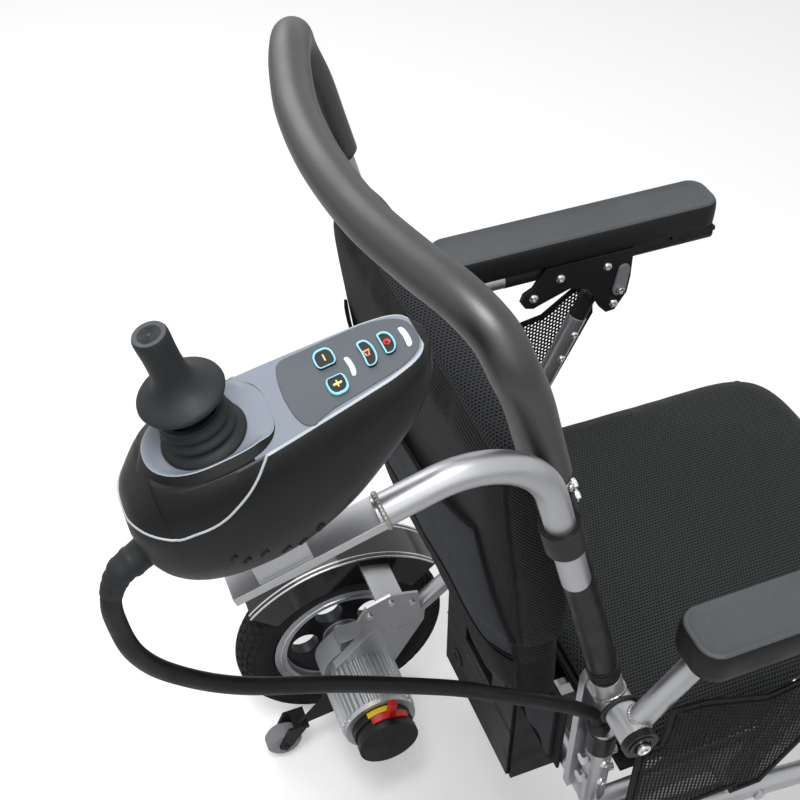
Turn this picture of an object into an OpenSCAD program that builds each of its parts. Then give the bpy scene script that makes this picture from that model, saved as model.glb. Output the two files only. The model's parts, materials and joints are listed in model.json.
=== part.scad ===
// Folding power wheelchair with an attendant control on the push hoop.
// Millimetres, +Z up, the chair faces -Y, +X is the chair's left side.
// The origin is on the floor, at the middle of the chair without its cable.

/* [Tubes] */
// Outside diameter of the frame tubes
tube_d = 22; // [20:0.5:24]
// Wall of the seat rail tubes
tube_wall = 2; // [1.5:0.25:3]
// Bend radius of the frame tubes at their centre line
tube_bend = 60; // [45:1:75]

/* [Seat] */
// Half the distance between the seat rails
rail_x = 222; // [218:1:230]
// Height of the seat rails
rail_z = 440; // [430:1:450]
// Seat rail length forward of the rear hinge
rail_length = 440; // [425:1:455]
// Half the width of the seat cushion
seat_half_w = 210; // [200:1:214]
// Seat cushion length
seat_length = 428; // [400:1:432]
// Gap from the rear hinge line to the seat cushion
seat_rear_gap = 32; // [30:1:40]
// Seat cushion thickness at its crown
seat_thick = 32; // [26:1:40]
// Seat board thickness
board_thick = 6; // [4:0.5:8]

/* [Back] */
// Height of the back hinge
hinge_z = 612; // [595:1:622]
// Recline of the back posts
recline = 15.5; // [12:0.5:18]
// Half the distance between the back posts
post_x = 214; // [210:1:216]
// Post length from the hinge to the foam
foam_start = 320; // [300:1:335]
// Foam grip diameter
foam_d = 33; // [29:0.5:33.5]
// Back cover top height
cover_top = 925; // [890:1:940]
// Back cover bottom height
cover_bottom = 545; // [535:1:560]
// Rear face of the back cover behind the hinge, at the middle of its pocket
cover_rear = 90; // [75:1:95]

/* [Back hinge] */
// Hinge axle diameter
axle_d = 14; // [10:0.5:16]
// Hinge barrel diameter
barrel_d = 30; // [26:0.5:34]
// Hinge barrel length on each back post
barrel_length = 31; // [28:0.5:32]
// Thickness of the hinge lug plates
lug_thick = 9; // [6:0.5:10]

/* [Armrests] */
// Middle of each arm pad
pad_x = 262; // [261:0.5:266]
// Arm pad width
pad_w = 58; // [50:0.5:59]
// Arm pad length
pad_length = 339; // [300:1:350]
// Arm pad top height
pad_top = 741; // [730:1:755]
// Arm pad thickness
pad_thick = 33; // [26:0.5:38]
// Gap from the hinge line to the rear of the pad
pad_rear_gap = 27; // [20:1:40]
// Middle of the armrest tubes
arm_x = 250; // [249.5:0.25:251]

/* [Base] */
// Height of the crossing pivot below the rear hinge, as an angle
side_slope = 10.5; // [9:0.5:12]
// Distance from the rear hinge to the crossing pivot
cross_reach = 168; // [160:1:175]
// Middle of the side tubes
side_x = 250; // [249.5:0.25:251]
// Middle of the rear leg tubes
leg_x = 184; // [180:1:186]
// Pivot pin diameter at the crossing
cross_pin_d = 12; // [8:0.5:14]
// Pivot pin diameter at the rear hinge
side_pin_d = 16; // [12:0.5:18]
// Pin diameter in the seat rail slot
slide_pin_d = 10; // [8:0.5:12]

/* [Drive wheels] */
// Drive wheel radius
wheel_r = 145; // [135:1:155]
// Tyre section diameter
tyre_d = 56; // [48:1:58]
// Middle of each drive wheel
wheel_x = 264; // [262:0.5:270]
// Drive axle behind the back hinge
axle_y = 98; // [85:1:110]
// Motor diameter
motor_d = 78; // [66:1:84]
// Inner end of each motor
motor_end_x = 76; // [70:1:90]

/* [Casters] */
// Caster wheel radius
caster_r = 89; // [75:1:92]
// Caster tyre section diameter
caster_tyre_d = 38; // [30:1:40]
// Middle of each caster
caster_x = 212; // [205:1:215]
// Caster swivel axis ahead of the back hinge
caster_y = 412; // [400:1:420]
// Caster trail
caster_trail = 40; // [30:1:45]

/* [Footrest] */
// Footplate width
foot_w = 260; // [220:1:280]
// Footplate depth
foot_depth = 120; // [100:1:140]
// Footplate height
foot_z = 112; // [100:1:130]

/* [Control] */
// Middle of the controller
control_x = 232; // [230:0.5:235]
// Controller tilt, nose up
control_tilt = 14; // [10:0.5:16]
// Joystick height above the deck
stick_height = 82; // [70:1:90]
// Push button diameter
button_d = 11; // [9:0.5:12]

/* [Battery] */
// Battery width
battery_w = 170; // [150:1:172]
// Battery length
battery_length = 130; // [115:1:132]
// Battery height
battery_h = 145; // [120:1:146]

/* [Fits] */
// Gap between parts that move past each other
running_gap = 0.3; // [0.2:0.05:0.4]
// Radial clearance of a pin in its bore
pin_fit = 0.05; // [0.02:0.01:0.1]

/* [Hidden] */
$fn = 48;

tube_r = tube_d / 2;
bend_lip = 0.05;
bend_lap = 0.5;
fit_r = tube_r + pin_fit;

// Side lanes at the back hinge, from the middle outwards
barrel_x0 = post_x - barrel_length / 2;
barrel_x1 = post_x + barrel_length / 2;
lug_x1 = barrel_x0 - running_gap;
lug_x0 = lug_x1 - lug_thick;
ring_thick = 3;
ring_x0 = barrel_x1 + running_gap;
ring_x1 = ring_x0 + ring_thick;
arm_barrel_x0 = ring_x1 + running_gap;
arm_barrel_x1 = arm_x + tube_r + 1;
cap_x0 = arm_barrel_x1 + running_gap;
cap_x1 = cap_x0 + 7;
axle_r = axle_d / 2;
barrel_r = barrel_d / 2;
socket_end = 36;
tube_seat = 20;

// Back tube, up one post, round the hoop and down the other
post_dir = [0, sin(recline), cos(recline)];
post_back = [0, cos(recline), -sin(recline)];
function on_post(t) = [post_x, 0, hinge_z] + t * post_dir;
hoop_rise = foam_start + 82;
hoop_bend = [[213, 120, 1031], [200, 128, 1052], [171, 139, 1062]];
hoop_top = [[130, 152, 1063], [70, 165, 1062], [0, 170, 1062]];
hoop_move = on_post(hoop_rise) - [214, 108, 1000];
half_hoop = [for (p = concat(hoop_bend, hoop_top))
    p + [p[0] > 200 ? hoop_move[0] : 0, hoop_move[1], hoop_move[2]]];
leg_points = [on_post(foam_start), on_post(hoop_rise)];
left_half = concat(leg_points, half_hoop);
right_half = [for (i = [len(left_half) - 2 : -1 : 0]) flip(left_half[i])];
hoop_points = concat(left_half, right_half);
hoop_path = smooth(hoop_points, 3);

// Seat and base places
rail_top = rail_z + tube_r;
board_z0 = rail_top;
seat_z0 = board_z0 + board_thick;
cross_y = -cross_reach * cos(side_slope);
cross_z = rail_z - cross_reach * sin(side_slope);
slide_y = 2 * cross_y;
fold_max = 25;
slide_end_y = -2 * cross_reach * cos(side_slope + fold_max);
caster_front_z = rail_z - caster_y * tan(side_slope);
front_bar_z = 292;
head_z0 = 222;
head_z1 = 322;
gusset_y = 45;
gusset_z = 235;

// Armrest places
pad_z0 = pad_top - pad_thick;
arm_run_z = pad_z0 - tube_r - running_gap;
arm_rise = 52;
arm_rise_y = -(arm_run_z - hinge_z) / tan(arm_rise);
plate_x1 = arm_x - tube_r - 0.1;
plate_x0 = plate_x1 - 5;
latch_at = [-244, 655];
latch_pin_r = 3;
strut_top = [-205, 614];
saddle_z = rail_top + 1;
strut_foot = [-139, saddle_z + running_gap];
strut_dir = (strut_foot - strut_top) / norm(strut_foot - strut_top);
saddle_x1 = arm_x + tube_r + 1;
saddle_half = 20;
guard_x0 = saddle_x1 + 0.2;
guard_thick = 3;

// Control places
deck_at = [-control_x, 316, 1063];
shell_wall = 2.5;
shell_split = -38;
arm_side = [-28, 8.5];
arm_low = 235;
arm_bend = 68;
arm_drop = control_tilt + 3;
stick_hole_r = 17;
pivot_w = -8;
button_places = [[11.5, 77.5], [-9.5, 77.5], [3, 99.5], [4, 112.5]];
panel_thick = 0.8;
button_r = button_d / 2;
// Station along the controller: v, top before the deck is cut flat, bottom, half width
shell_low = -93;
stations = [
    [-62, -40, -48, 6], [-59, -24, -63, 20], [-48, -10, -78, 32], [-29, 6, -89, 39],
    [0, 12, shell_low, 42], [30, 12, -91, 40], [60, 10, -81, 37], [90, 7.5, -62, 33],
    [111, 5, -45, 29.5], [127, 2.5, -27, 21.5], [135, -2, -14, 8]];
nose_sway = 0.06;
sway_from = 25;
panel_margin = 3;

// Battery places
battery_top = rail_z - tube_r - 4;
battery_z0 = battery_top - battery_h;
battery_rear = 20;
tray_wall = 4;
stringer_x = battery_w / 2 + 10;

// Controller cable, from its gland to the back hinge
cable_d = 13;
cable_points = [
    [-234, 366, 983], [-236, 377, 977], [-237, 385, 960], [-236, 386, 935],
    [-233, 379, 893], [-228, 358, 853], [-219, 314, 803], [-211, 236, 751],
    [-207, 150, 693], [-213, 110, 670], [-217, 72, 645], [-219, 40, 620],
    [-218, 20, 598], [-216, 11, 582], [-215, 7, 566]
];
cable_path = smooth(cable_points, 3);

// The middle of the chair, from its front and rear ends
foot_hinge_y = caster_y + 140;
foot_front = foot_hinge_y + foot_depth;
rear_end = max([for (s = stations) for (p = shell_ring(s, 0))
    deck_at[1] + p[1] * cos(control_tilt) + p[2] * sin(control_tilt)]);
y_shift = (foot_front - rear_end) / 2;

function unit(v) = v / norm(v);
function flip(p) = [-p[0], p[1], p[2]];
function sgn(a) = a < 0 ? -1 : 1;
function at(p, i) = p[max(0, min(len(p) - 1, i))];
function spline(a, b, c, d, t) =
    0.5 * (2 * b + (c - a) * t + (2 * a - 5 * b + 4 * c - d) * t * t
    + (3 * b - a - 3 * c + d) * t * t * t);
function smooth(p, n) = concat(
    [for (i = [0 : len(p) - 2]) for (k = [0 : n - 1])
        spline(at(p, i - 1), p[i], p[i + 1], at(p, i + 2), k / n)],
    [p[len(p) - 1]]);
function heading(p, i) = unit(at(p, i + 1) - at(p, i - 1));
function square_to(v, t) = unit(v - (v * t) * t);
function sides(p, i, last) = i == len(p) ? [] :
    let (s = square_to(last, heading(p, i))) concat([s], sides(p, i + 1, s));
function ring_points(c, s, t, r, k) =
    [for (j = [0 : k - 1]) c + r * (cos(360 * j / k) * s + sin(360 * j / k) * cross(t, s))];
// A point of a rounded box outline, rounder where e is smaller
function round_box(a, rx, ry, e) = [
    rx * sgn(cos(a)) * pow(abs(cos(a)), 2 / e),
    ry * sgn(sin(a)) * pow(abs(sin(a)), 2 / e)];

// A closed skin over rings of points, each ring with as many points
module skin(rings) {
    k = len(rings[0]);
    n = len(rings);
    points = concat([for (r = rings) each r], [mean(rings[0])], [mean(rings[n - 1])]);
    polyhedron(points, concat(
        [for (j = [0 : k - 1]) [n * k, j, (j + 1) % k]],
        [for (i = [0 : n - 2]) for (j = [0 : k - 1])
            [i * k + j, (i + 1) * k + j, i * k + (j + 1) % k]],
        [for (i = [0 : n - 2]) for (j = [0 : k - 1])
            [i * k + (j + 1) % k, (i + 1) * k + j, (i + 1) * k + (j + 1) % k]],
        [for (j = [0 : k - 1]) [n * k + 1, (n - 1) * k + (j + 1) % k, (n - 1) * k + j]]));
}
function mean(p) = [for (c = [0 : 2]) sum([for (q = p) q[c]]) / len(p)];
function sum(v, i = 0) = i == len(v) ? 0 : v[i] + sum(v, i + 1);

// A round cord along a path
module sweep(path, r, k = 12) {
    s = sides(path, 0, abs(heading(path, 0) * [1, 0, 0]) < 0.9 ? [1, 0, 0] : [0, 1, 0]);
    skin([for (i = [0 : len(path) - 1]) ring_points(path[i], s[i], heading(path, i), r, k)]);
}

module both() {
    children();
    mirror([1, 0, 0]) children();
}
// A cylinder along X
module xrod(x0, x1, r, at = [0, 0]) {
    translate([x0, at[0], at[1]]) rotate([0, 90, 0]) cylinder(h = x1 - x0, r = r);
}
// A cylinder between two points
module rod(a, b, r) {
    d = b - a;
    translate(a) rotate([0, acos(d[2] / norm(d)), atan2(d[1], d[0])])
        cylinder(h = norm(d), r = r);
}
// A tube bend round an axis along X, whose ends lap the straight tubes
module elbow(centre, a0, angle, bend) {
    translate(centre) rotate([0, 90, 0]) rotate([0, 0, a0])
        rotate_extrude(angle = angle) translate([bend, 0]) circle(r = tube_r + bend_lip);
}
// A plate in a plane of constant X, drawn as [y, z] points
module plate(x0, x1, outline) {
    translate([x0, 0, 0]) rotate([90, 0, 90]) linear_extrude(x1 - x0) polygon(outline);
}
// A block between two corners
module block(a, b) {
    translate(a) cube(b - a);
}
// An arc of a profile drawn as [radius, x], round an axis along X, from angle a0
module xarc(a0, angle, at) {
    translate([0, at[0], at[1]]) rotate([0, 90, 0]) rotate([0, 0, a0])
        rotate_extrude(angle = angle, $fn = 96) children();
}

// Seat frame: rails, cross tubes, back hinge lugs, saddles and pivot pins

slot_half = slide_pin_d / 2 + pin_fit;
slot_end = slide_pin_d / 2 + 3;
lug_half = 17;

module seat_rail() {
    difference() {
        union() {
            rod([rail_x, 0, rail_z], [rail_x, -rail_length, rail_z], tube_r);
            xrod(rail_x, side_x + tube_r + 3, side_pin_d / 2, [0, rail_z]);
        }
        rod([rail_x, -tube_d - 4, rail_z], [rail_x, 4 - rail_length + tube_d, rail_z],
            tube_r - tube_wall);
        block([rail_x - tube_d, slide_y - slot_end, rail_z - slot_half],
            [rail_x, slide_end_y + slot_end, rail_z + slot_half]);
    }
}

module hinge_lug() {
    difference() {
        block([lug_x0, -lug_half, rail_z], [lug_x1, lug_half, hinge_z]);
        xrod(lug_x0 - 1, lug_x1 + 1, axle_r + pin_fit, [0, hinge_z]);
    }
    difference() {
        xrod(lug_x0, lug_x1, lug_half, [0, hinge_z]);
        block([lug_x0 - 1, -lug_half - 1, hinge_z - lug_half - 1], [lug_x1 + 1, lug_half + 1, hinge_z]);
        xrod(lug_x0 - 1, lug_x1 + 1, axle_r + pin_fit, [0, hinge_z]);
    }
}

module seat_frame() {
    color("silver") {
        both() {
            seat_rail();
            hinge_lug();
            rod([post_x, 0, rail_z], [post_x, 0, hinge_z - barrel_r - 37], tube_r + 1.5);
            block([rail_x, strut_foot[0] - saddle_half, rail_top - 6],
                [saddle_x1, strut_foot[0] + saddle_half, saddle_z]);
            block([stringer_x - 4, 4 - rail_length, rail_z - tube_r],
                [stringer_x + 4, -4, rail_z + tube_r - 2]);
        }
        xrod(-rail_x, rail_x, tube_r, [0, rail_z]);
        xrod(-rail_x, rail_x, tube_r, [-rail_length, rail_z]);
    }
}

module hinge_axles() {
    color("gainsboro") both() {
        xrod(lug_x0 - 4, lug_x0, axle_r + 4, [0, hinge_z]);
        xrod(lug_x0, cap_x0 + 1, axle_r, [0, hinge_z]);
        difference() {
            xrod(cap_x0 + 1, cap_x1 - 1.5, axle_r + 1, [0, hinge_z]);
            translate([cap_x1 - 4, 0, hinge_z]) rotate([0, 90, 0])
                cylinder(h = 5, r = axle_r * 0.5, $fn = 6);
        }
    }
}

module hinge_caps() {
    color("dimgray") both() {
        difference() {
            xrod(ring_x0, ring_x1, barrel_r + 2, [0, hinge_z]);
            xrod(ring_x0 - 1, ring_x1 + 1, axle_r + pin_fit, [0, hinge_z]);
        }
        difference() {
            xrod(cap_x0, cap_x1, barrel_r + 1, [0, hinge_z]);
            xrod(cap_x0 - 1, cap_x1 + 1, axle_r + 1 + pin_fit, [0, hinge_z]);
        }
    }
}

module frame_bolts() {
    color("gray") both() for (z = [rail_z + 45, rail_z + 75])
        translate([post_x, tube_r + 1.5, z]) rotate([-90, 0, 0]) cylinder(h = 6, r = 6.5, $fn = 6);
}

module seat_board() {
    color("dimgray") translate([0, 0, board_z0])
        block([2 - seat_half_w, 8 - seat_rear_gap - seat_length, 0],
            [seat_half_w - 2, -seat_rear_gap - 2, board_thick]);
}

// Cushion outline at one level, drawn in by inset
function seat_ring(z, inset) = [
    for (j = [0 : 39]) let (a = 360 * j / 40,
        p = round_box(a, seat_half_w - inset, seat_length / 2 - inset, sin(a) < 0 ? 5 : 9))
        [p[0], p[1] - seat_rear_gap - seat_length / 2, z]];

module seat_cushion() {
    h = seat_thick;
    levels = [[0, 10], [h * 0.12, 3], [h * 0.3, 0], [h * 0.52, 1], [h * 0.72, 6],
        [h * 0.86, 16], [h * 0.95, 44], [h, 110]];
    color("darkslategray") skin([for (l = levels) seat_ring(seat_z0 + l[0], l[1])]);
}

module battery_tray() {
    web_x0 = battery_w / 2 + running_gap;
    web_x1 = web_x0 + tray_wall;
    tray_front = battery_rear - battery_length - 6;
    tray_z0 = battery_z0 - tray_wall;
    tray_top = rail_z - tube_r;
    color("dimgray") {
        both() {
            block([web_x0, tray_front, tray_z0], [web_x1, battery_rear - 4, tray_top]);
            block([web_x0 - 18, tray_front, tray_z0], [web_x1, battery_rear - 4, battery_z0]);
            block([web_x1 - 0.5, tray_front, tray_top - tray_wall],
                [stringer_x + 4, battery_rear - 24, tray_top]);
        }
        block([-web_x0, tray_front, tray_z0], [web_x0, tray_front + tray_wall, battery_z0 + 40]);
    }
}

module battery_pack() {
    grip_w = 70;
    color("dimgray") difference() {
        block([-battery_w / 2, battery_rear - battery_length, battery_z0],
            [battery_w / 2, battery_rear, battery_top]);
        block([-grip_w / 2, battery_rear - 22, battery_top - 46],
            [grip_w / 2, battery_rear + 1, battery_top - 18]);
    }
}

module side_guards() {
    z0 = rail_z + side_pin_d + 1;
    under_cap = hinge_z - barrel_r - 5;
    tab_y = strut_foot[0];
    front_y = strut_top[0];
    outline = [[-2, z0], [-2, under_cap], [-24, under_cap], [-27, hinge_z + 32],
        [-62, hinge_z + 26], [-128, hinge_z - 2], [-165, hinge_z + 4], [front_y, hinge_z + 34],
        [front_y - 24, hinge_z + 26], [front_y - 28, hinge_z - 12], [-188, 498], [-162, z0],
        [tab_y - 17, saddle_z - 6], [tab_y + 17, saddle_z - 6], [tab_y + 20, z0]];
    color("darkslategray") both() plate(guard_x0, guard_x0 + guard_thick, outline);
}

module rear_skirt() {
    y0 = tube_r + 0.2;
    color("darkslategray") {
        block([50 - rail_x, y0, rail_z - 8], [rail_x - 50, y0 + 3, cover_bottom - 7]);
        block([60 - rail_x, y0 + 3.2, rail_z - 4], [176 - rail_x, y0 + 8, rail_z + 80]);
    }
}

// Back: bent tube, hinge barrels, foam, cover, pocket and sleeves

module back_tube() {
    low = on_post(tube_seat);
    color("silver") sweep(concat([low], hoop_path, [flip(low)]), tube_r, 24);
}

module hinge_barrel() {
    difference() {
        union() {
            xrod(barrel_x0, barrel_x1, barrel_r, [0, hinge_z]);
            rod(on_post(0), on_post(socket_end), tube_r + 2.5);
        }
        xrod(barrel_x0 - 1, barrel_x1 + 1, axle_r + pin_fit, [0, hinge_z]);
        rod(on_post(tube_seat - 0.2), on_post(socket_end + 1), fit_r);
    }
}

module hinge_barrels() {
    color("gainsboro") both() hinge_barrel();
}

module foam_grip() {
    n = len(hoop_path);
    past = 2 * post_dir;
    inside = [for (i = [1 : n - 2]) hoop_path[i]];
    core = concat([hoop_path[0] - past], inside, [hoop_path[n - 1] - past]);
    color("dimgray") difference() {
        sweep(hoop_path, foam_d / 2, 24);
        sweep(core, tube_r + 0.15, 24);
    }
}

module post_sleeves() {
    color("black") both() difference() {
        rod(on_post(socket_end + 1), on_post(arm_low - 10), tube_r + 2.2);
        rod(on_post(socket_end), on_post(arm_low - 9), tube_r + 0.1);
    }
}

// Back cover section at a height: half width, front and rear faces
pocket_z = 705;
cover_lean = 0.128;
function cover_half_w(z) = z < hinge_z + 45 ? lug_x0 - 3.5 : post_x - tube_r - 2 - running_gap;
function post_y(z) = (z - hinge_z) * tan(recline);
function cover_front(z) = max(22, post_y(z) - 16);
function cover_back(z) = cover_rear + cover_lean * (z - pocket_z);
function cover_ring(z, inset) = let (half_y = max(9, (cover_back(z) - cover_front(z)) / 2) - inset / 3)
    [for (j = [0 : 31]) let (p = round_box(360 * j / 32, cover_half_w(z) - inset, half_y, 6))
        [p[0], p[1] + (cover_back(z) + cover_front(z)) / 2, z]];

module back_cover() {
    mid = hinge_z + 44;
    heights = [[cover_bottom, 12], [cover_bottom + 8, 3], [cover_bottom + 40, 0], [mid, 0],
        [mid + 24, 0], [mid + 80, 0], [mid + 140, 0], [mid + 200, 0], [cover_top - 24, 0],
        [cover_top - 8, 3], [cover_top, 12]];
    color("darkslategray") skin([for (h = heights) cover_ring(h[0], h[1])]);
}

module back_pocket() {
    pocket_w = 150;
    levels = [[0.3, 3], [5, 0], [12, 3], [16, 16]];
    color("slategray") skin([for (l = levels) [
        for (j = [0 : 31]) let (p = round_box(-360 * j / 32, pocket_w - l[1], 85 - l[1], 7))
            [p[0], cover_back(pocket_z + p[1]) + l[0], pocket_z + p[1]]]]);
}

// Control arm: a bent tube from the clip, with a flat bar under the controller

bar_run = 104;
bar_w = 24;
bar_thick = 7;
deck_up = [0, sin(control_tilt), cos(control_tilt)];
arm_base = [-post_x + arm_side[0], 0, hinge_z] + arm_side[1] * post_back;
bar_up = [0, sin(arm_drop), cos(arm_drop)];
mount_h = 20.5;
shell_foot = deck_at + (shell_low - 0.2) * deck_up;
bar_level = shell_foot * bar_up - mount_h - bar_thick / 2;
arm_level = (arm_base + arm_bend * (post_back + bar_up)) * bar_up;
arm_high = (bar_level - arm_level) / (post_dir * bar_up);
arm_top = arm_base + arm_high * post_dir;
arm_turn = 90 - recline + arm_drop;
arm_centre = arm_top + arm_bend * post_back;
arm_end = arm_centre + arm_bend * bar_up;
arm_dir = [0, cos(arm_drop), -sin(arm_drop)];
arm_run = 39;

module control_arm() {
    color("silver") {
        rod(arm_base + arm_low * post_dir, arm_top + bend_lap * post_dir, tube_r);
        elbow(arm_centre, 180 - arm_drop, arm_turn, arm_bend);
        rod(arm_end - bend_lap * arm_dir, arm_end + arm_run * arm_dir, tube_r);
        translate(arm_end + (arm_run - 4) * arm_dir) rotate([-arm_drop, 0, 0])
            translate([-bar_w / 2, 0, -bar_thick / 2]) cube([bar_w, bar_run, bar_thick]);
        translate(shell_foot) rotate([-control_tilt, 0, 0])
            translate([arm_base[0] + control_x - 10, -24, -mount_h - 5]) cube([20, 36, mount_h + 5]);
    }
}

module arm_clip() {
    clip_low = arm_low + 46;
    clip_h = 26;
    a = arm_base + clip_low * post_dir;
    p = flip(on_post(clip_low));
    color("dimgray") difference() {
        union() {
            rod(a, a + clip_h * post_dir, tube_r + 4);
            rod(p, p + clip_h * post_dir, tube_r + 3);
            translate((a + p) / 2) rotate([-recline, 0, 0])
                rotate([0, 0, atan2(arm_side[1], arm_side[0])])
                translate([-15, -8, 0]) cube([30, 16, clip_h]);
        }
        rod(a - post_dir, a + (clip_h + 1) * post_dir, fit_r);
        rod(p - post_dir, p + (clip_h + 1) * post_dir, fit_r);
    }
}

// Controller: local x, forward v and up w from the middle of the joystick on the deck

module on_deck() {
    translate(deck_at) rotate([-control_tilt, 0, 0]) children();
}
function shell_ring(s, wall) = let (top = s[1] - wall, low = s[2] + wall, half = s[3] - wall)
    [for (j = [0 : 27]) let (p = round_box(360 * j / 28, half, (top - low) / 2, 3))
        [sway(s[0]) + p[0], -s[0], p[1] + (top + low) / 2]];
function sway(v) = nose_sway * max(0, v - sway_from);
// Half width of the flat deck at a station
function deck_half(s) = s[3] * pow(1 - pow(abs(s[1] + s[2]) / (s[1] - s[2]), 3), 1 / 3);
inner_stations = [for (s = stations) if (s[3] > 10) s];

module shell() {
    difference() {
        intersection() {
            skin([for (s = stations) shell_ring(s, 0)]);
            block([-60, -150, -120], [60, 80, 0]);
        }
        intersection() {
            skin([for (s = inner_stations) shell_ring(s, shell_wall)]);
            block([-60, -150, -120], [60, 80, -shell_wall]);
        }
    }
}

module controller_base() {
    color("dimgray") on_deck() intersection() {
        shell();
        block([-60, -150, -120], [60, 80, shell_split]);
    }
}

module controller_top() {
    color("gray") on_deck() difference() {
        intersection() {
            shell();
            block([-60, -150, shell_split], [60, 80, 1]);
        }
        translate([0, 0, -20]) cylinder(h = 40, r = stick_hole_r);
        for (b = button_places)
            translate([b[0], -b[1], -20]) cylinder(h = 40, r = button_r + running_gap);
    }
}

module keypad_panel() {
    beside = [for (s = stations) if (s[0] > 50 && s[1] > 0) [s[0], deck_half(s) - panel_margin]];
    edge = concat([[50, 20], [53, 25.5]], beside, [[129, 9]]);
    n = len(edge);
    outline = concat([for (p = edge) [sway(p[0]) + p[1], -p[0]]],
        [for (i = [1 : n]) let (p = edge[n - i]) [sway(p[0]) - p[1], -p[0]]]);
    color("darkgray") on_deck() difference() {
        translate([0, 0, 0.05]) linear_extrude(panel_thick) polygon(outline);
        for (b = button_places)
            translate([b[0], -b[1], -1]) cylinder(h = 4, r = button_r + running_gap);
    }
}

module push_button(i) {
    b = button_places[i];
    on_deck() translate([b[0], -b[1], -5]) cylinder(h = 5 + panel_thick + 1.8, r = button_r);
}

module joystick_base() {
    color("dimgray") on_deck() difference() {
        translate([0, 0, -28]) cylinder(h = 28 - shell_wall - 0.05, r = stick_hole_r + 3);
        translate([0, 0, -24]) cylinder(h = 40, r = stick_hole_r - 1.5);
        xrod(-21, 21, 1.5 + pin_fit, [0, pivot_w]);
    }
}

module joystick_gimbal() {
    color("gainsboro") on_deck() {
        difference() {
            translate([0, 0, pivot_w - 3]) cylinder(h = 6, r = 14.6);
            translate([0, 0, pivot_w - 4]) cylinder(h = 8, r = 9);
            translate([0, 20, pivot_w]) rotate([90, 0, 0]) cylinder(h = 40, r = 1.5 + pin_fit);
        }
        xrod(13, 18, 1.5, [0, pivot_w]);
        xrod(-18, -13, 1.5, [0, pivot_w]);
    }
}

module joystick_boot() {
    profile = [[22.5, 0.2], [23.5, 4], [19.5, 6.5], [21.5, 10.5], [18.5, 13.5], [20, 17.5],
        [17.8, 20.5], [18.6, 24], [16.2, 24], [15, 0.2]];
    color("black") on_deck() rotate_extrude() polygon(profile);
}

module joystick_stick() {
    h = stick_height;
    profile = [[0, 31], [23.4, 34.6], [24.6, 36.5], [23.8, 38.6], [14, 44], [10.6, 50],
        [9.6, 58], [9.6, 68], [10, h - 3], [9, h], [0, h]];
    color("black") on_deck() {
        rotate_extrude() polygon(profile);
        translate([0, 0, pivot_w]) sphere(r = 6.5);
        translate([0, 0, pivot_w]) cylinder(h = 40, r = 4.5);
        translate([0, 12, pivot_w]) rotate([90, 0, 0]) cylinder(h = 24, r = 1.5);
    }
}

module cable_gland() {
    a = cable_points[0];
    d = unit(cable_points[1] - a);
    color("dimgray") difference() {
        rod(a - 26 * d, a + 8 * d, cable_d / 2 + 3.5);
        sweep(concat([a - 0.1 * d], [for (i = [1 : 12]) cable_path[i]]), cable_d / 2 + 0.1, 12);
        on_deck() skin([for (s = stations) shell_ring(s, -0.05)]);
    }
}

module controller_cable() {
    color("black") sweep(cable_path, cable_d / 2, 12);
}

// Armrests, drawn on the left

module arm_tubes() {
    run_end = -pad_rear_gap - pad_length + 60;
    rise_dir = [0, -cos(arm_rise), sin(arm_rise)];
    corner = [arm_x, arm_rise_y, arm_run_z];
    bend = 34;
    lead = bend * tan(arm_rise / 2);
    centre = corner + lead * [0, -1, 0] + [0, 0, -bend];
    strut_past = strut_foot + 20 * strut_dir;
    color("silver") {
        difference() {
            union() {
                xrod(arm_barrel_x0, arm_barrel_x1, barrel_r, [0, hinge_z]);
                rod([arm_x, 0, hinge_z], corner - (lead - bend_lap) * rise_dir, tube_r);
            }
            xrod(arm_barrel_x0 - 1, arm_barrel_x1 + 1, axle_r + pin_fit, [0, hinge_z]);
        }
        elbow(centre, 180 - arm_rise, arm_rise, bend);
        rod(corner + (lead - bend_lap) * [0, -1, 0], [arm_x, run_end, arm_run_z], tube_r);
        difference() {
            rod([arm_x, strut_top[0], strut_top[1]], [arm_x, strut_past[0], strut_past[1]], tube_r);
            block([arm_x - 30, strut_foot[0] - 40, strut_foot[1] - 60],
                [arm_x + 30, strut_foot[0] + 60, strut_foot[1]]);
        }
    }
}

module arm_bracket() {
    plug_end = strut_top - 0.2 * strut_dir;
    plug_top = plug_end - 34 * strut_dir;
    bar_z = pad_z0 - running_gap;
    pad_front = -pad_rear_gap - pad_length;
    outline = [[-122, 668], [-128, 659], [-138, 656], [-148, 660], [-182, 672], [-206, 664],
        [-222, 634], [-232, 623], [-243, 624], [-256, 646], [-258, 668], [-257, bar_z],
        [-150, bar_z], [-136, 684], [-125, 678]];
    color("dimgray") {
        difference() {
            plate(plate_x0, plate_x1, outline);
            xrod(plate_x0 - 1, plate_x1 + 1, latch_pin_r + pin_fit, latch_at);
        }
        rod([arm_x, plug_end[0], plug_end[1]], [arm_x, plug_top[0], plug_top[1]], tube_r - 1);
        xrod(plate_x1 - 1, arm_x, 6, plug_top);
        block([arm_x - 14, pad_front + 4, bar_z - 5], [arm_x + 14, pad_front + 59, bar_z]);
    }
}

module arm_latch() {
    x1 = plate_x0 - running_gap;
    x0 = x1 - 3;
    tip = latch_at + [-3, 27];
    color("lightslategray") {
        xrod(x0, x1, 8, latch_at);
        xrod(x0, x1, 7, tip);
        plate(x0, x1, [latch_at - [8, 0], latch_at + [8, 0], tip + [7, 0], tip - [7, 0]]);
        xrod(x0, plate_x1 - 0.2, latch_pin_r, latch_at);
    }
}

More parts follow.
